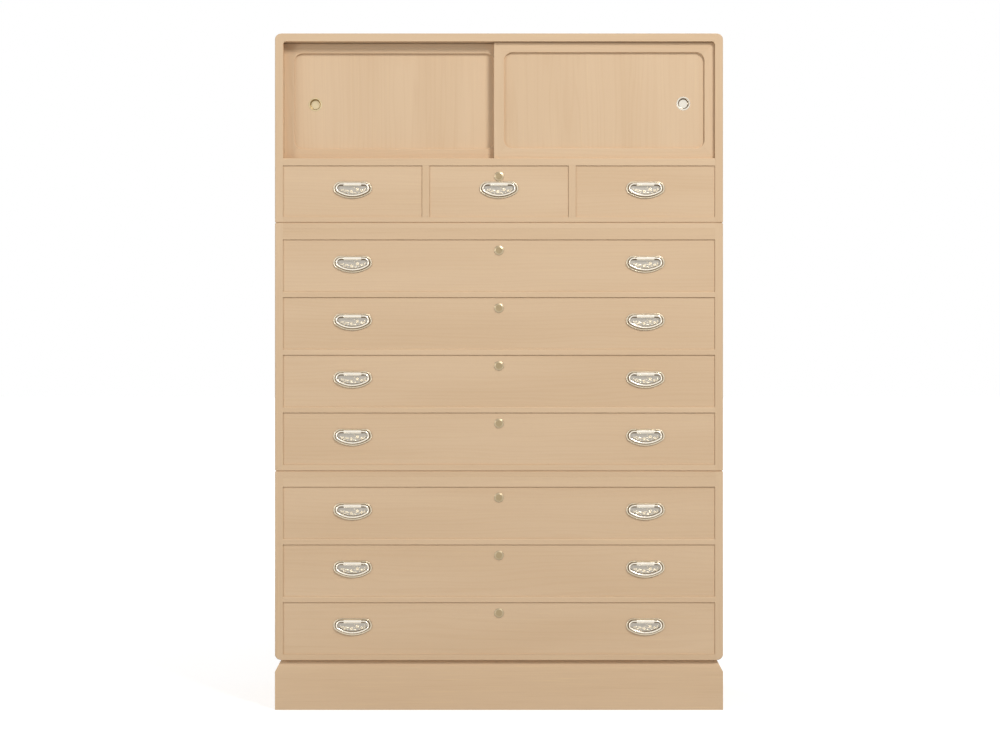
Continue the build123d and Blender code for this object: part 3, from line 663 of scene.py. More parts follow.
def door_ring(middle_x, face_y, half_width, low_z, high_z):
    """The door's frame in one piece, with its moulded opening and the rebate for the panel behind it."""
    x_range, behind_y = about(middle_x, half_width), face_y + 2 * DOOR_THICKNESS
    ring = slab("ring", x_range, (face_y, face_y + DOOR_THICKNESS), (low_z, high_z))
    inner_x = (x_range[0] + DOOR_FRAME, x_range[1] - DOOR_FRAME)
    inner_z = (low_z + DOOR_FRAME, high_z - DOOR_FRAME)
    hole = slab("hole", inner_x, (face_y - DOOR_THICKNESS, behind_y), inner_z)
    round_edges(hole, lambda a, b: near(a.x, b.x) and near(a.z, b.z), DOOR_CORNER, 12)
    cut(ring, hole)

    def on_moulding(a, b):
        return ends_at(a, b, y=face_y) and all(
            abs(end.x - middle_x) < half_width - DOOR_FRAME / 2 and low_z + 1 * MM < end.z < high_z - 1 * MM
            for end in (a, b)
        )

    round_edges(ring, on_moulding, MOULDING, 4)
    lap_x = (inner_x[0] - PANEL_LAP, inner_x[1] + PANEL_LAP)
    lap_z = (inner_z[0] - PANEL_LAP, inner_z[1] + PANEL_LAP)
    cut(ring, slab("rebate", lap_x, (face_y + PANEL_SINK, behind_y), lap_z))
    return ring


# %% [markdown]
# Four copies of the ring are each sawn down to one member: two mitre cuts and one through the middle of the door
# leave a rail or a stile. A rail then gets its tongue, extruded from the strip between two saw lines. The panel is
# a plain board with a round hole for the pull.

# %% Members, tongues and panels
LIFT_TONGUE = 6 * MM
LOW_TONGUE = 4 * MM
PULL_HOLE_RADIUS = 13.4 * MM

for door in DOORS:
    low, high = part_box(door)
    low_z, high_z = door_floor + EDGE_GAP, door_ceiling - EDGE_GAP
    middle = Vector(((low.x + high.x) / 2, low.y, (low_z + high_z) / 2))
    half_width = (high.x - low.x) / 2
    half_height = (high_z - low_z) / 2
    ring = door_ring(middle.x, low.y, half_width, low_z, high_z)
    saw(ring, Z * (door_ceiling - LIFT_GAP), Z, cut_off=True)
    for name, out, along, tongue in (
        ("top_rail", Z, "X", LIFT_TONGUE),
        ("bottom_rail", -Z, "X", LOW_TONGUE),
        ("left_stile", -X, "Z", 0),
        ("right_stile", X, "Z", 0),
    ):
        member = copy_of(ring, f"{door}_{name}", (0, 0, 0))
        reach, half_length = (half_height, half_width) if along == "X" else (half_width, half_height)
        side_way = Vector((out.z, 0, out.x))
        edge = out * reach
        for end in (-1, 1):
            saw(member, middle + edge + side_way * end * half_length, side_way * end - out, cut_off=True)
        saw(member, middle, -out, cut_off=True)
        if tongue:
            tongue_y = low.y + DOOR_THICKNESS / 2
            for y in about(tongue_y, TONGUE / 2):
                saw(member, Y * y, Y)
            extrude(
                member,
                lambda face, normal: normal.dot(out) > 0.9
                and abs(face.y - tongue_y) < TONGUE / 2
                and near(face.z, (middle + edge).z, LIFT_GAP),
                out * tongue,
            )
        ease(member)
        finish_board(member, door, door, along, "Y")
    bpy.data.objects.remove(ring)
    x_range = about(middle.x, half_width - DOOR_FRAME + PANEL_LAP)
    z_range = about(middle.z, half_height - DOOR_FRAME + PANEL_LAP)
    panel_y = low.y + PANEL_SINK
    panel = slab(f"{door}_panel", x_range, (panel_y, panel_y + PANEL_THICKNESS), z_range)
    pull_low, pull_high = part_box(f"{door}_pull")
    pull_middle = (pull_low + pull_high) / 2
    cut(panel, rod((pull_middle.x, panel_y, pull_middle.z), PULL_HOLE_RADIUS, 4 * PANEL_THICKNESS))
    ease(panel)
    finish_board(panel, door, door, "Z", "Y")
print(f"door frames: {DOOR_FRAME / MM:.0f} mm wide")

# %% [markdown]
# ## Drawers
#
# A front board laps over the sides, so no end grain shows. The sides meet the back in a comb joint, and the bottom
# is pegged up under them. A maker planes each front until it just slides, so it is fitted more closely than the box
# behind it. Its upper edge is eased most and its sides a little: those thin bevels make the drawer lines crisp.

# %% Drawer fronts
FRONT_THICKNESS = 20 * MM
FRONT_LAP = 6 * MM
TOP_EASE = 0.7 * MM
SIDE_EASE = 0.35 * MM
FRONT_FIT = (0.6 * MM, 0.2 * MM, 0.45 * MM)  # nearer at the sides, below and above
DRAWER_SIDE = 11 * MM
DRAWER_BOTTOM = 7 * MM
KEY_BELOW_TOP = 24.5 * MM
KEYHOLE = (3.5 * MM, 10 * MM)
LOCK = (46 * MM, 34 * MM)
LOCK_DEPTH = 12 * MM


def drawer_front(low, high, locked):
    """The front board: lapped for the sides, rebated for the bottom, bored for its lock."""
    side_fit, low_fit, top_fit = FRONT_FIT
    fit_low, fit_high = low - Vector((side_fit, 0, low_fit)), high + Vector((side_fit, 0, top_fit))
    lap_y = low.y + FRONT_LAP
    front = slab("front_board", (fit_low.x, fit_high.x), (low.y, lap_y), (fit_low.z, fit_high.z))
    for x in (low.x + DRAWER_SIDE, high.x - DRAWER_SIDE):
        saw(front, X * x, X)
    saw(front, Z * (low.z + DRAWER_BOTTOM), Z)
    half = (high.x - low.x) / 2 - DRAWER_SIDE
    middle_x = (low.x + high.x) / 2
    extrude(
        front,
        lambda middle, normal: normal.y > 0.9
        and near(middle.y, lap_y)
        and abs(middle.x - middle_x) < half
        and middle.z > low.z + DRAWER_BOTTOM,
        Y * (FRONT_THICKNESS - FRONT_LAP),
    )

    def on_sides(a, b):
        half_fit = fit_high.x - middle_x
        return ends_at(a, b, y=low.y) and all(near(abs(end.x - middle_x), half_fit) for end in (a, b))

    round_edges(front, lambda a, b: ends_at(a, b, y=low.y, z=fit_high.z), TOP_EASE, 3)
    round_edges(front, on_sides, SIDE_EASE, 2)
    if locked:
        key_z = high.z - KEY_BELOW_TOP
        back_y = low.y + FRONT_THICKNESS
        for (width, height), start_y in ((KEYHOLE, low.y - LOCK_DEPTH), (LOCK, back_y - LOCK_DEPTH)):
            y_range = (start_y, back_y + LOCK_DEPTH)
            cut(front, slab("mortise", about(middle_x, width / 2), y_range, about(key_z, height / 2)))
    return front


# %% [markdown]
# The other four boards are plain blocks. The sides and the back then get the fingers of their comb extruded, and
# they are a little lower than the front, so that only the front fills its opening and nothing rubs above them.

# %% Drawer boards
DRAWER_BACK = 11 * MM
SIDE_RELIEF = 2 * MM


def drawer_boards(low, high, locked):
    """The five boards of a drawer, each with the directions of its grain."""
    side_z = (low.z + DRAWER_BOTTOM, high.z - SIDE_RELIEF)
    inner_x = (low.x + DRAWER_SIDE, high.x - DRAWER_SIDE)
    lap_y, comb_y = low.y + FRONT_LAP, high.y - DRAWER_BACK
    boards = [("front_board", drawer_front(low, high, locked), "X", "Y")]
    for name, x_range in (("left_side", (low.x, inner_x[0])), ("right_side", (inner_x[1], high.x))):
        side = slab(name, x_range, (lap_y, comb_y), side_z)
        comb(side, Z, side_z, CENTRE_FINGER, Y * DRAWER_BACK)
        boards.append((name, side, "Y", "X"))
    back = slab("back_board", inner_x, (comb_y, high.y), side_z)
    comb(back, Z, side_z, OUTER_FINGERS, X * -DRAWER_SIDE, X * DRAWER_SIDE)
    boards.append(("back_board", back, "X", "Y"))
    bottom = slab("bottom_board", (low.x, high.x), (lap_y, high.y), (low.z, side_z[0]))
    boards.append(("bottom_board", bottom, "X", "Z"))
    for _, board, _, _ in boards:
        ease(board)
    return boards


# %% [markdown]
# Three drawers are modelled: a wide one, a small one, and a small one with a lock. The others are copies of these,
# each board taken from elsewhere in the log.

# %% Every drawer, copied from its pattern
SMALL_DRAWERS = [f"small_{place}_drawer" for place in ("left", "middle", "right")]
WIDE_DRAWERS = [f"drawer_{number}" for number in range(1, 8)]
LOCKED = WIDE_DRAWERS + ["small_middle_drawer"]
for pattern, drawers in (
    ("small_left_drawer", ["small_left_drawer", "small_right_drawer"]),
    ("small_middle_drawer", ["small_middle_drawer"]),
    ("drawer_1", WIDE_DRAWERS),
):
    pattern_low, pattern_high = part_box(f"{pattern}_box")
    boards = drawer_boards(pattern_low, pattern_high, pattern in LOCKED)
    for drawer in drawers:
        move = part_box(f"{drawer}_box")[0] - pattern_low
        for name, board, along, across in boards:
            finish_board(copy_of(board, f"{drawer}_{name}", move), drawer, f"{drawer}_box", along, across)
    for _, board, _, _ in boards:
        bpy.data.objects.remove(board)
print("drawers:", len(SMALL_DRAWERS + WIDE_DRAWERS))

# %% [markdown]
# ## Nickel
#
# The fittings are cast, plated with nickel and polished: a warm white metal with soft, slightly uneven reflections.
# Use changes it: what fingers and cloths reach is polished brightest. The rim's steep sides, the hollows and the cup's
# wall are painted dark, a painted shade, and the key covers' faces dull brown, a painted reflection of a darker room.
# The left door's cup is duller and yellower. The ground of the handle plates is punched with fine dots, a common way
# to make plain metal sparkle less.

# %% Metal finishes
DOT_PITCH = 1.3 * MM
DOT_DEPTH = 0.25 * MM
WEAR_SIZE = 9 * MM
WEAR_PATCHES = (0.3, 0.7)  # the part of the noise that is spread over the range from rubbed to worn
RUBBED, WORN = 0.8, 1.3  # times the finish's own roughness


def nickel(name, base, roughness, bump_height=0.0):
    """Nickel with faint cloudy wear in its gloss. bump_height adds the punched dots."""
    material, tree, shader = new_material(name, Metallic=1.0, Base_Color=colour(base), Roughness=roughness)
    place = add_node(tree, "ShaderNodeTexCoord").outputs["Object"]
    wear = add_node(tree, "ShaderNodeTexNoise", {"Vector": place, "Scale": 1 / WEAR_SIZE, "Detail": 4.0})
    span = {"From Min": WEAR_PATCHES[0], "From Max": WEAR_PATCHES[1]}
    gloss_range = {"To Min": roughness * RUBBED, "To Max": roughness * WORN}
    gloss = add_node(tree, "ShaderNodeMapRange", {"Value": wear, **span, **gloss_range})
    tree.links.new(gloss.outputs[0], shader.inputs["Roughness"])
    if bump_height:
        dots = add_node(tree, "ShaderNodeTexVoronoi", {"Vector": place, "Scale": 1 / DOT_PITCH}).outputs["Distance"]
        bump = add_node(tree, "ShaderNodeBump", {"Height": dots, "Strength": 0.5, "Distance": bump_height})
        tree.links.new(bump.outputs[0], shader.inputs["Normal"])
    return material


# Bails and barrels, rubbed bright at every pull: sharp white glints.
NICKEL = nickel("polished_nickel", "e9e2d4", 0.2)
# Rims and flowers catch the light softly and stay quieter than the bail in front of them.
SATIN_NICKEL = nickel("satin_nickel_rim_and_relief", "dbcfb8", 0.32)
# The dots scatter the light, so the ground reads as plain grey behind the flowers.
PUNCHED_NICKEL = nickel("punched_nickel_ground", "aea89e", 0.42, DOT_DEPTH)
# Painted shade: edges and hollows are painted dark where shade falls, a dark line that parts the bright pieces.
PAINTED_SHADE_NICKEL = nickel("nickel_painted_shade_hollows", "7a6a57", 0.5)
# Painted reflection: the key covers' faces are painted a dull brown, as they would mirror a darker room. The left
# cup's wall takes it as painted shade.
PAINTED_DIM_NICKEL = nickel("nickel_painted_dim_faces", "a18f70", 0.4)
# Their sloping edge is smoother, so one crescent of it turns bright towards the lamp. Its base is painted darker, a
# painted shade, so the rest of the slope stays dim.
COVER_RIM = nickel("satin_nickel_cover_rims", "ae9d81", 0.32)
# The left door's cup: dull and slightly yellow, so it hardly stands out from the wood.
LEFT_CUP_NICKEL = nickel("dull_yellow_nickel_left_cup", "cfbd99", 0.4)


def give_finishes(piece, *materials):
    """Adds finishes to a new piece. All its faces wear the first, until coat gives some of them another."""
    for material in materials:
        piece.data.materials.append(material)


def finish_metal(piece, body, node):
    """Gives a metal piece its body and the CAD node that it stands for."""
    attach(piece, body)
    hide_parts(node)


# %% [markdown]
# ## Drop handles
#
# Each handle is a half-moon plate with a raised rim, a barrel across its top, and a bail whose ends turn in the
# barrel. The outline is a chain of arcs, which is what a Bezier curve is good at: an arc's handles lie along its
# tangents and are four thirds of the tangent of a quarter of its angle long, times its radius.

# %% The half-moon outline


def half_moon(name, half_width, top, rise, drop, side_radius, ends=()):
    """A half-moon as a flat Bezier curve round the barrel's line. Given ends, it stays open and runs between them."""
    widest = top - rise
    side_x = half_width - side_radius
    bottom_radius = (side_x**2 + drop**2 - side_radius**2) / (2 * (drop - side_radius))
    turn = math.atan2(bottom_radius - drop, side_x)
    angles = [math.pi / 2, 0, -turn, turn - math.pi, -math.pi, -math.pi * 3 / 2]
    arcs = [
        ((half_width - rise, widest), rise),
        ((side_x, widest), side_radius),
        ((0, widest - drop + bottom_radius), bottom_radius),
        ((-side_x, widest), side_radius),
        ((rise - half_width, widest), rise),
    ]
    anchors = []
    for number, angle in enumerate(angles):
        (centre_x, centre_z), radius = arcs[min(number, len(arcs) - 1)]
        point = Vector((centre_x + radius * math.cos(angle), centre_z + radius * math.sin(angle), 0))
        forward = Vector((math.sin(angle), -math.cos(angle), 0))
        reaches = []
        for arc in (number - 1, number):
            inside = 0 <= arc < len(arcs)
            reaches.append(4 / 3 * math.tan((angles[arc] - angles[arc + 1]) / 4) * arcs[arc][1] if inside else 0)
        anchors.append((point, point - forward * reaches[0], point + forward * reaches[1]))
    if ends:
        first, last = (Vector((x, top, 0)) for x in ends)
        anchors = [(first, first, first), *anchors, (last, last, last)]
    activate(None)
    bpy.ops.curve.primitive_bezier_curve_add()
    outline = bpy.context.object
    outline.name = name
    spline = outline.data.splines[0]
    spline.bezier_points.add(len(anchors) - 2)
    for bezier, (point, back, ahead) in zip(spline.bezier_points, anchors):
        bezier.handle_left_type = bezier.handle_right_type = "FREE"
        bezier.co, bezier.handle_left, bezier.handle_right = point, back, ahead
    spline.use_cyclic_u = not ends
    outline.data.resolution_u = 12
    return outline


def stand_up(outline, place):
    """Turns a flat curve to face the front at a place, and makes it a mesh."""
    activate(outline)
    bpy.ops.object.convert(target="MESH")
    outline.rotation_euler = (math.radians(90), 0, 0)
    outline.location = place
    bpy.ops.object.transform_apply()
    return outline


# %% [markdown]
# The plate starts as the filled outline. It is extruded to the height of its rim, inset by the rim's width, and the
# middle is pushed back down: the same order in which a die would press it. The rim is then rounded to a bead. Its
# steep sides and a border round the ground get a painted shade, and the middle takes the punched finish.

# %% Plate
PLATE = dict(half_width=45.5 * MM, top=5.9 * MM, rise=16.5 * MM, drop=23.5 * MM, side_radius=14 * MM)
PLATE_THICKNESS = 1.5 * MM
RIM_HEIGHT = 3.1 * MM
RIM_WIDTH = 3 * MM
RIM_ROUNDING = 1.4 * MM
HOLLOW_WIDTH = 7.3 * MM
STEEP = 0.75  # a face that leans forward by less than this is a side of the rim
BACK_EDGE = 0.5 * MM
# The third finish is painted shade, on the rim's steep sides and a border round the ground.
PUNCHED, PAINTED_SHADE_SLOT = 1, 2  # the plate's second and third finish


def make_plate(place):
    """The plate, with its barrel's line at place."""
    outline = half_moon("plate", **PLATE)
    outline.data.dimensions = "2D"
    outline.data.fill_mode = "BOTH"
    plate = stand_up(outline, place)
    edit(plate)
    bpy.ops.mesh.remove_doubles(threshold=0.01 * MM)
    bpy.ops.mesh.delete(type="ONLY_FACE")
    bpy.ops.mesh.select_all(action="SELECT")
    bpy.ops.mesh.edge_face_add()
    activate(plate)
    extrude(plate, lambda middle, normal: True, Y * -RIM_HEIGHT)
    edit(plate)
    bpy.ops.mesh.normals_make_consistent(inside=False)
    activate(plate)
    rim_y = place.y - RIM_HEIGHT
    give_finishes(plate, SATIN_NICKEL, PUNCHED_NICKEL, PAINTED_SHADE_NICKEL)
    edit(plate, "FACE", lambda middle, normal: near(middle.y, rim_y) and normal.y < -0.9)
    bpy.ops.mesh.inset(thickness=RIM_WIDTH)
    # Painted shade on the border round the ground.
    coat(plate, PAINTED_SHADE_SLOT)
    bpy.ops.transform.translate(value=(0, RIM_HEIGHT - PLATE_THICKNESS, 0))
    bpy.ops.mesh.inset(thickness=HOLLOW_WIDTH)
    coat(plate, PUNCHED)
    activate(plate)
    round_edges(plate, lambda a, b: ends_at(a, b, y=rim_y), RIM_ROUNDING, 5)
    # Painted shade on the rim's steep sides.
    edit(plate, "FACE", lambda middle, normal: abs(normal.y) < STEEP and middle.y < place.y - BACK_EDGE)
    coat(plate, PAINTED_SHADE_SLOT)
    shade(plate)
    return plate


# %% [markdown]
# The ornament is a spray of plum blossom, an old common motif. Petals, buds and leaves are spheres flattened and
# stretched in the plate's plane, sunk halfway into it. The stem is one thin curve.

# %% Plum blossom
RELIEF = 0.75 * MM
STEM_RADIUS = 0.5 * MM
# Millimetres from the barrel, x and z. Then a radius, or a leaf's turn in degrees and half its length.
BLOSSOMS = ((11.5, -12.5, 4.4), (21.5, -16.0, 3.6), (-3.0, -18.5, 4.0))
BUDS = ((4.5, -8.2, 1.5), (29.0, -11.0, 1.5), (-11.5, -21.5, 1.4), (15.5, -20.5, 1.3))
LEAVES = (
    (-13.5, -15.5, 165, 5.5),
    (-24.0, -14.0, 200, 5.0),
    (5.0, -20.8, -15, 4.6),
    (28.0, -15.5, 60, 4.2),
    (-19.0, -19.0, 20, 4.2),
)
STEM = ((-29, -12), (-16, -18), (0, -14), (12, -17), (27, -13))
PETAL_TURNS = range(90, 450, 72)
PETAL_OUT, PETAL_LENGTH, PETAL_WIDTH, HEART = 0.58, 0.46, 0.4, 0.2  # shares of a blossom's radius
HEART_RELIEF, LEAF_RELIEF = RELIEF * 1.25, RELIEF * 0.8
LEAF_WIDTH = 0.34  # share of a leaf's length


def blob(place, half_sizes, turn=0.0):
    """A sphere flattened to half sizes (along, out of the plate, across) and turned in the plate's plane."""
    activate(None)
    bpy.ops.mesh.primitive_uv_sphere_add(segments=12, ring_count=6, radius=1, rotation=(0, math.radians(90), 0))
    piece = bpy.context.object
    bpy.ops.object.transform_apply()
    piece.scale = half_sizes
    piece.rotation_euler = (0, -math.radians(turn), 0)
    piece.location = place
    bpy.ops.object.transform_apply()
    return piece


def make_spray(place):
    """The whole spray in relief, on a plate whose barrel is at place."""
    ground = place - Y * PLATE_THICKNESS
    parts = []
    for x, z, radius in BLOSSOMS:
        centre = ground + Vector((x, 0, z)) * MM
        for turn in PETAL_TURNS:
            way = Vector((math.cos(math.radians(turn)), 0, math.sin(math.radians(turn))))
            out = way * radius * PETAL_OUT * MM
            parts.append(blob(centre + out, (radius * PETAL_LENGTH * MM, RELIEF, radius * PETAL_WIDTH * MM), turn))
        parts.append(blob(centre, (radius * HEART * MM, HEART_RELIEF, radius * HEART * MM)))
    for x, z, radius in BUDS:
        parts.append(blob(ground + Vector((x, 0, z)) * MM, (radius * MM, RELIEF, radius * MM)))
    for x, z, turn, length in LEAVES:
        half_sizes = (length * MM, LEAF_RELIEF, length * LEAF_WIDTH * MM)
        parts.append(blob(ground + Vector((x, 0, z)) * MM, half_sizes, turn))
    activate(None)
    bpy.ops.curve.primitive_bezier_curve_add()
    stem = bpy.context.object
    points = stem.data.splines[0].bezier_points
    points.add(len(STEM) - 2)
    for bezier, (x, z) in zip(points, STEM):
        bezier.co = (x * MM, z * MM, 0)
        bezier.handle_left_type = bezier.handle_right_type = "AUTO"
    stem.data.bevel_depth = STEM_RADIUS
    stem.data.bevel_resolution = 1
    stem.data.resolution_u = 5
    parts.append(stand_up(stem, ground))
    spray = join("spray", parts)
    bpy.ops.object.shade_smooth()
    give_finishes(spray, SATIN_NICKEL)
    return spray


# %% [markdown]
# The barrel is a tube across the plate, on a foot that fills the gap behind it. Each end is inset to a little more
# than the size of a pin and pushed inwards, which leaves a real bore for that pin to turn in.

# %% Barrel
BARREL_RADIUS = 4 * MM
BARREL_LENGTH = 42 * MM
BARREL_OUT = 5.6 * MM
BORE_DEPTH = 3 * MM
BORE_GAP = 0.15 * MM
BARREL_ARRIS = 0.4 * MM
WIRE_RADIUS = 2.2 * MM
FOOT_INSET = 0.6 * MM
FOOT_BELOW, FOOT_ABOVE = BARREL_RADIUS * 1.22, BARREL_RADIUS * 0.72
FOOT_BACK = PLATE_THICKNESS * 0.8  # a little inside the plate
FOOT_ARRIS = 0.3 * MM


def make_barrel(place):
    """The tube with a bore in each end, and the foot behind it."""
    activate(None)
    axis = place - Y * BARREL_OUT
    bpy.ops.mesh.primitive_cylinder_add(
        vertices=40, radius=BARREL_RADIUS, depth=BARREL_LENGTH, location=axis, rotation=(0, math.radians(90), 0)
    )
    tube = bpy.context.object
    bpy.ops.object.transform_apply()
    for hand, _ in HANDS:
        edit(tube, "FACE", lambda middle, normal: normal.x * hand > 0.9)
        bpy.ops.mesh.inset(thickness=BARREL_RADIUS - WIRE_RADIUS - BORE_GAP)
        bpy.ops.transform.translate(value=(-hand * BORE_DEPTH, 0, 0))
    activate(tube)
    ease(tube, BARREL_ARRIS, 3)
    x_range, y_range = about(axis.x, BARREL_LENGTH / 2 - FOOT_INSET), (axis.y, place.y - FOOT_BACK)
    foot = slab("foot", x_range, y_range, (axis.z - FOOT_BELOW, axis.z + FOOT_ABOVE))
    ease(foot, FOOT_ARRIS)
    barrel = join("barrel", [tube, foot])
    give_finishes(barrel, NICKEL)
    return barrel


# %% [markdown]
# The bail is one wire of round section, a little thinner towards the barrel, where it is turned in to make its pins.
# The outline that drew the plate draws it too, left open at the top, and the curve's own bevel makes it round.

# %% Bail
BAIL = dict(half_width=37.75 * MM, top=0, rise=10.6 * MM, drop=16.65 * MM, side_radius=8 * MM)
BAIL_TAPER = (0.8, 0.85, 0.95, 1.0, 1.0, 0.95, 0.85, 0.8)  # thickness at each point, of the full wire
PIN_REACH = 16 * MM


def make_bail(place):
    """The wire, with its pins in the bores of the barrel at place."""
    wire = half_moon("bail", ends=(PIN_REACH, -PIN_REACH), **BAIL)
    wire.data.dimensions = "3D"
    for bezier, thickness in zip(wire.data.splines[0].bezier_points, BAIL_TAPER):
        bezier.radius = thickness
    wire.data.bevel_depth = WIRE_RADIUS
    wire.data.bevel_resolution = 4
    wire.data.use_fill_caps = True
    bail = stand_up(wire, place - Y * BARREL_OUT)
    edit(bail)
    bpy.ops.mesh.remove_doubles(threshold=0.01 * MM)
    bpy.ops.mesh.normals_make_consistent(inside=False)
    activate(bail)
    bpy.ops.object.shade_smooth_by_angle(angle=math.radians(50))
    give_finishes(bail, NICKEL)
    return bail


# %% [markdown]
# Each part of a handle is modelled once. Its copies go where the frame has the hinge of each bail, so that every
# bail turns about the middle of its own pins.

# %% Handles on every drawer
HANDLES = {f"{drawer}_bail": drawer for drawer in SMALL_DRAWERS}
HANDLES.update({f"{drawer}_{hand}_bail": drawer for drawer in WIDE_DRAWERS for _, hand in HANDS})
hinges = {joint["child"]: Vector(joint["pos_m"]) for joint in frame["joints"] if "pos_m" in joint}
drawer_face_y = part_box("drawer_1_box")[0].y
pattern = Vector((0, drawer_face_y, 1))
patterns = [make_plate(pattern), make_spray(pattern), make_barrel(pattern)]
bail_pattern = make_bail(pattern)
for bail_node, drawer in HANDLES.items():
    hinge = hinges[bail_node]
    move = Vector((hinge.x, drawer_face_y, hinge.z)) - pattern
    name = bail_node.removesuffix("_bail")
    for piece in patterns:
        finish_metal(copy_of(piece, f"{name}_handle_{piece.name}", move), drawer, f"{drawer}_hardware")
    finish_metal(copy_of(bail_pattern, f"{name}_handle_bail", move), bail_node, bail_node)
for piece in [*patterns, bail_pattern]:
    bpy.data.objects.remove(piece)
print("handles:", len(HANDLES))

# %% [markdown]
# ## Locks
#
# A round plate guards the keyhole. Its cover hangs on a rivet near the top and swings aside for the key. The cover is
# a disc with its face inset and its outer edge moved back, so it falls away all round, and that slope turns part of
# it to the light.

# %% Key covers
KEY_PLATE_THICKNESS = 1 * MM
COVER_RADIUS = 11.5 * MM
COVER_THICKNESS = 1.4 * MM
COVER_SLOPE = 4 * MM
COVER_FALL = 1.3 * MM
COVER_GAP = 0.1 * MM
COVER_ARRIS = 0.25 * MM
# The cover's face is painted dull brown, a painted reflection of a darker room.
PAINTED_DIM_FACE = 1  # the cover's second finish
RIVET_RADIUS = 1 * MM
PIN_OUT = 0.05 * MM  # how far the pin's back stays in front of the drawer


def disc(name, place, radius, thickness):
    """A disc whose back lies at place and whose face looks forward."""
    piece = rod(place - Y * (thickness / 2), radius, thickness)
    piece.name = name
    bpy.ops.object.transform_apply()
    return piece


def make_cover(place, pivot):
    """The cover, with a broad sloping edge, and its rivet's pin."""
    back = place - Y * (KEY_PLATE_THICKNESS + COVER_GAP)
    cover = disc("cover", back, COVER_RADIUS, COVER_THICKNESS)
    centre = back - Y * COVER_THICKNESS
    give_finishes(cover, COVER_RIM, PAINTED_DIM_NICKEL)
    edit(cover, "FACE", lambda middle, normal: normal.y < -0.9)
    bpy.ops.mesh.inset(thickness=COVER_SLOPE)
    coat(cover, PAINTED_DIM_FACE)
    activate(cover)

    def on_rim(a, b):
        return ends_at(a, b, y=centre.y) and min((end - centre).length for end in (a, b)) > COVER_RADIUS - 0.1 * MM

    edit(cover, "EDGE", on_rim)
    bpy.ops.transform.translate(value=(0, COVER_FALL, 0))
    activate(cover)
    bevel = cover.modifiers.new("soft rim", "BEVEL")
    bevel.width = COVER_ARRIS
    bevel.segments = 2
    bevel.angle_limit = math.radians(15)
    bpy.ops.object.modifier_apply(modifier=bevel.name)
    shade(cover)
    pin = disc("pin", pivot - Y * PIN_OUT, RIVET_RADIUS, KEY_PLATE_THICKNESS + COVER_GAP)
    return join("cover", [cover, pin])


# %% [markdown]
# The plate under the cover shows only when the cover is swung aside. Its keyhole is a slot with a round eye above,
# and over that is the hole in which the rivet turns. Each hole is cut with a solid of its shape, as by a punch.

# %% Keyhole plates
KEY_PLATE_RADIUS = 11 * MM
KEY_PLATE_ARRIS = 0.2 * MM
RIVET_GAP = 0.06 * MM
SLOT_SHARE, EYE_SHARE = 0.7, 1.2  # half the slot's width and the eye's radius, of half the keyhole's width


def make_key_plate(place, pivot):
    """The round plate, with its keyhole and the hole for the rivet."""
    plate = disc("key_plate", place, KEY_PLATE_RADIUS, KEY_PLATE_THICKNESS)
    half_width, half_height = (side / 2 for side in KEYHOLE)
    slot_z = (place.z - half_height, place.z + half_height - half_width)
    cut(plate, slab("keyhole", about(place.x, half_width * SLOT_SHARE), about(place.y, 10 * MM), slot_z))
    eye = half_width * EYE_SHARE
    for hole, radius in ((place + Z * (half_height - eye), eye), (pivot, RIVET_RADIUS + RIVET_GAP)):
        cut(plate, rod(hole, radius, 1))
    ease(plate, KEY_PLATE_ARRIS)
    give_finishes(plate, NICKEL)
    return plate


# %% [markdown]
# The lock sits in a mortise in the back of the front board. Of its case only the back shows, in a drawn drawer: a
# flat field inside a raised rim.

# %% Lock cases
LOCK_RIM_WIDTH = 2 * MM
LOCK_RIM_HEIGHT = 0.8 * MM


def make_lock_case(place):
    """The lock's box, with a raised rim round its back."""
    half_x, half_z = (side / 2 for side in LOCK)
    back_y = place.y + FRONT_THICKNESS
    case = slab("lock_case", about(place.x, half_x), (back_y - LOCK_DEPTH, back_y), about(place.z, half_z))
    edit(case, "FACE", lambda middle, normal: normal.y > 0.9)
    bpy.ops.mesh.inset(thickness=LOCK_RIM_WIDTH)
    bpy.ops.transform.translate(value=(0, -LOCK_RIM_HEIGHT, 0))
    activate(case)
    ease(case)
    give_finishes(case, NICKEL)
    return case


# %% [markdown]
# The covers turn on their hinges in the frame, so plate, cover and lock are copied to where each hinge is.

# %% A lock on every drawer that has one
key_drop = KEY_BELOW_TOP - (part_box("drawer_1_box")[1].z - hinges["drawer_1_key_cover"].z)
pivot = pattern + Z * key_drop
cover_pattern = make_cover(pattern, pivot)
lock_patterns = [make_key_plate(pattern, pivot), make_lock_case(pattern)]
for drawer in LOCKED:
    node = f"{drawer}_key_cover"
    hinge = hinges[node]
    move = Vector((hinge.x, drawer_face_y, hinge.z)) - pivot
    finish_metal(copy_of(cover_pattern, f"{drawer}_cover", move), node, node)
    for piece in lock_patterns:
        finish_metal(copy_of(piece, f"{drawer}_{piece.name}", move), drawer, f"{drawer}_hardware")
for piece in [cover_pattern, *lock_patterns]:
    bpy.data.objects.remove(piece)
print("locks:", len(LOCKED), "covers pivot", round(key_drop / MM, 1), "mm above the keyhole")

# %% [markdown]
# ## Finger pulls
#
# A sliding door can have nothing standing proud of it, so its pull is a cup let into the panel. It is turned on a
# lathe, so one half of its section is spun round the middle. The cup's wall is painted dark, a painted shade, and its
# floor bright. On the left door the whole cup is duller and more yellow, with rim and floor nearly one tone.

# %% Cups
# Radius and depth behind the panel's face, in millimetres: from the middle of the cup's floor out over its lip, and
# then round its back.
PULL_FRONT = ((0, 6.4), (10.1, 6.4), (12.4, -0.4), (13.2, -1.2), (14.2, -1.2), (14.8, -0.75), (16.1, -0.75))
PULL_BACK = ((16.5, -0.35), (16.5, 0), (13.3, 0), (13.3, 7.1), (12.6, 7.9), (0, 7.9))
PULL_ARRIS = 0.15 * MM
CUP_WALL, CUP_FLOOR = (10.2, 12.3), (0, 10)  # from one radius to another
CUP_DEPTH = 6.45 * MM


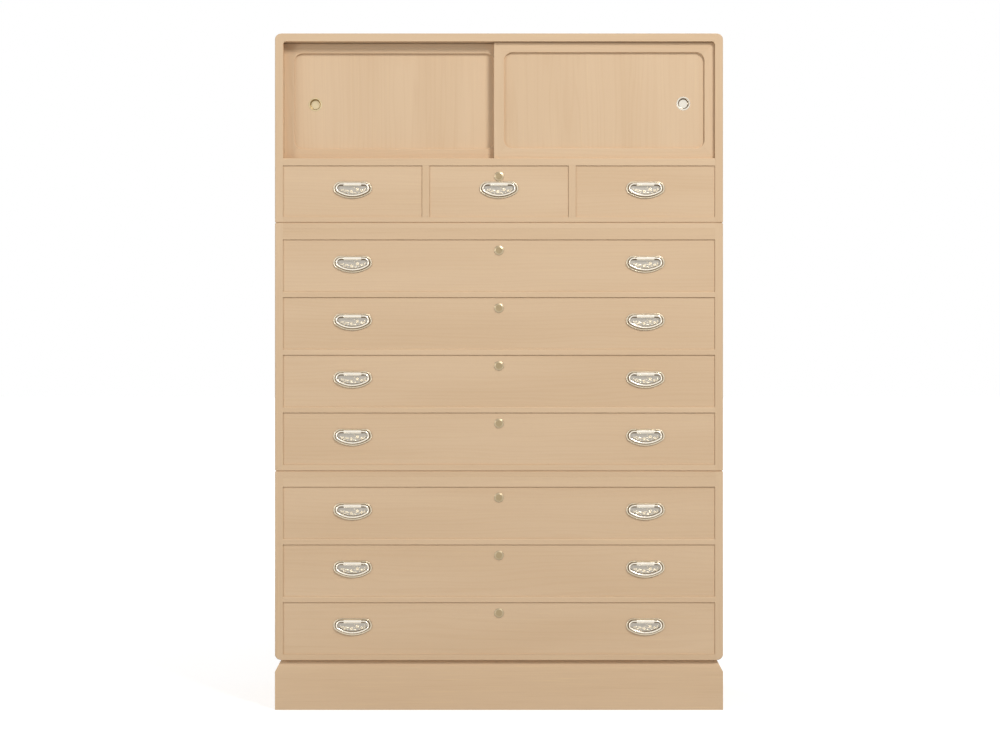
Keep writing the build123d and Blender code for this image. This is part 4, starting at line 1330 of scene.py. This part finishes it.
def make_pull(name, place, finishes):
    """Spins the section round the front-to-back line through place. The finishes are for rim, wall and floor."""
    activate(None)
    bpy.ops.mesh.primitive_plane_add(size=1 * MM, location=place)
    pull = bpy.context.object
    pull.name = pull.data.name = name
    bpy.ops.object.transform_apply()
    edit(pull)
    bpy.ops.mesh.select_mode(type="VERT")
    bpy.ops.mesh.select_all(action="SELECT")
    bpy.ops.mesh.merge(type="CENTER")
    at, *others = map(Vector, PULL_FRONT + PULL_BACK)
    bpy.ops.transform.translate(value=(at.x * MM, at.y * MM, 0))
    for point in others:
        step = (point - at) * MM
        bpy.ops.mesh.extrude_vertices_move(TRANSFORM_OT_translate={"value": (step.x, step.y, 0)})
        at = point
    bpy.ops.mesh.select_all(action="SELECT")
    bpy.ops.mesh.spin(steps=64, angle=math.tau, center=place, axis=(0, 1, 0))
    bpy.ops.mesh.select_all(action="SELECT")
    bpy.ops.mesh.remove_doubles(threshold=0.01 * MM)
    bpy.ops.mesh.normals_make_consistent(inside=False)
    activate(pull)
    give_finishes(pull, *finishes)
    for number, (smallest, largest) in enumerate((CUP_WALL, CUP_FLOOR), 1):

        def in_ring(middle, normal):
            radius = math.hypot(middle.x - place.x, middle.z - place.z)
            return smallest * MM < radius < largest * MM and middle.y < place.y + CUP_DEPTH

        edit(pull, "FACE", in_ring)
        coat(pull, number)
        activate(pull)
    ease(pull, PULL_ARRIS)
    return pull


for door in DOORS:
    node = f"{door}_pull"
    low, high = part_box(node)
    place = (low + high) / 2
    place.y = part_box(door)[0].y + PANEL_SINK
    # Rim, wall, floor: the right cup's wall is painted shade; the left cup is duller and yellower, its wall painted
    # dim.
    finishes = (LEFT_CUP_NICKEL, PAINTED_DIM_NICKEL, LEFT_CUP_NICKEL) if door == "left_door" else (NICKEL, PAINTED_SHADE_NICKEL, NICKEL)
    finish_metal(make_pull(f"{door}_finger_cup", place, finishes), door, node)
print("finger pulls:", len(DOORS))

# %% [markdown]
# ## Floor, light and camera
#
# The chest stands on white paper that runs on behind it. The paper glows for the camera and in mirrors but lights
# nothing, and it glows less near the chest, so that the shadow there stays. The world does the same: the camera and
# mirrors see white, and the wood gets the light of a plainer room.

# %% Paper
NEAR_GLOW = 0.6
GLOW_SPAN = (1.5, 6.0)  # metres from the middle of the chest


def seen_directly(tree):
    """1 for rays that come from the camera or from a mirror, and 0 for those that light the wood."""
    rays = add_node(tree, "ShaderNodeLightPath").outputs
    seen = rays["Is Camera Ray"]
    for other in ("Is Glossy Ray", "Is Transmission Ray"):
        seen = add_node(tree, "ShaderNodeMath", {0: seen, 1: rays[other]}, operation="MAXIMUM").outputs[0]
    return seen


activate(None)
bpy.ops.mesh.primitive_plane_add(size=60, location=(0, 20, 0))
floor = bpy.context.object
floor.name = "floor"
bpy.ops.object.transform_apply()
# Matt white paper: no gloss that would mirror the chest, and no line between floor and backdrop.
paper, paper_tree, paper_shader = new_material("white_paper", Roughness=0.9, Base_Color=colour("c6c6c6"))
paper_place = add_node(paper_tree, "ShaderNodeTexCoord").outputs["Object"]
away = add_node(paper_tree, "ShaderNodeVectorMath", {0: paper_place}, operation="LENGTH").outputs["Value"]
span = {"From Min": GLOW_SPAN[0], "From Max": GLOW_SPAN[1], "To Min": NEAR_GLOW, "To Max": 1.0}
fade = add_node(paper_tree, "ShaderNodeMapRange", {"Value": away, **span})
glow = add_node(paper_tree, "ShaderNodeMath", {0: seen_directly(paper_tree), 1: fade}, operation="MULTIPLY")
paper_shader.inputs["Emission Color"].default_value = (1, 1, 1, 1)
paper_tree.links.new(glow.outputs[0], paper_shader.inputs["Emission Strength"])
floor.data.materials.append(paper)

# %% [markdown]
# The key lamp stands high on the right and draws the short shadows under the top board and beside the front door. A
# weaker one low on the left opens them again, and a wide soft one behind lights the back and the left side.

# %% Light
ROOM = 0.345
LAMP_TARGET = Vector((0, 0, 0.75))
world = bpy.data.worlds.new("white_room")
bpy.context.scene.world = world
world.use_nodes = True
room = world.node_tree
background = room.nodes["Background"]
background.inputs["Color"].default_value = (1, 1, 1, 1)
strength = add_node(room, "ShaderNodeMapRange", {"Value": seen_directly(room), "To Min": ROOM, "To Max": 1.0})
room.links.new(strength.outputs[0], background.inputs["Strength"])

for name, place, watts, size in (
    ("key_lamp", Vector((2.4, -3.9, 4.4)), 190, 1.3),
    ("fill_lamp", Vector((-3.6, -3.2, 1.9)), 44, 1.2),
    ("back_lamp", Vector((-2.4, 4.4, 3.2)), 95, 2.6),
):
    activate(None)
    bpy.ops.object.light_add(type="AREA", location=place)
    lamp = bpy.context.object
    lamp.name = name
    lamp.data.energy = watts
    lamp.data.size = size
    lamp.rotation_euler = (LAMP_TARGET - place).to_track_quat("-Z", "Y").to_euler()
print("room and lamps ready")

# %% [markdown]
# The camera stands straight in front at half the chest's height, with a long lens, as for a maker's catalogue: the
# sides hardly show, and the drawer lines stay parallel.

# %% Camera
CAMERA_X, CAMERA_AWAY, CAMERA_Z = 0.0024, 4.5, 0.804  # metres, the second one from the chest's front
LENS = 68.5  # millimetres
activate(None)
bpy.ops.object.camera_add(location=(CAMERA_X, FRONT_Y - CAMERA_AWAY, CAMERA_Z), rotation=(math.radians(90), 0, 0))
camera = bpy.context.object
camera.data.lens = LENS
bpy.context.scene.camera = camera
bpy.context.scene.view_settings.view_transform = "Standard"
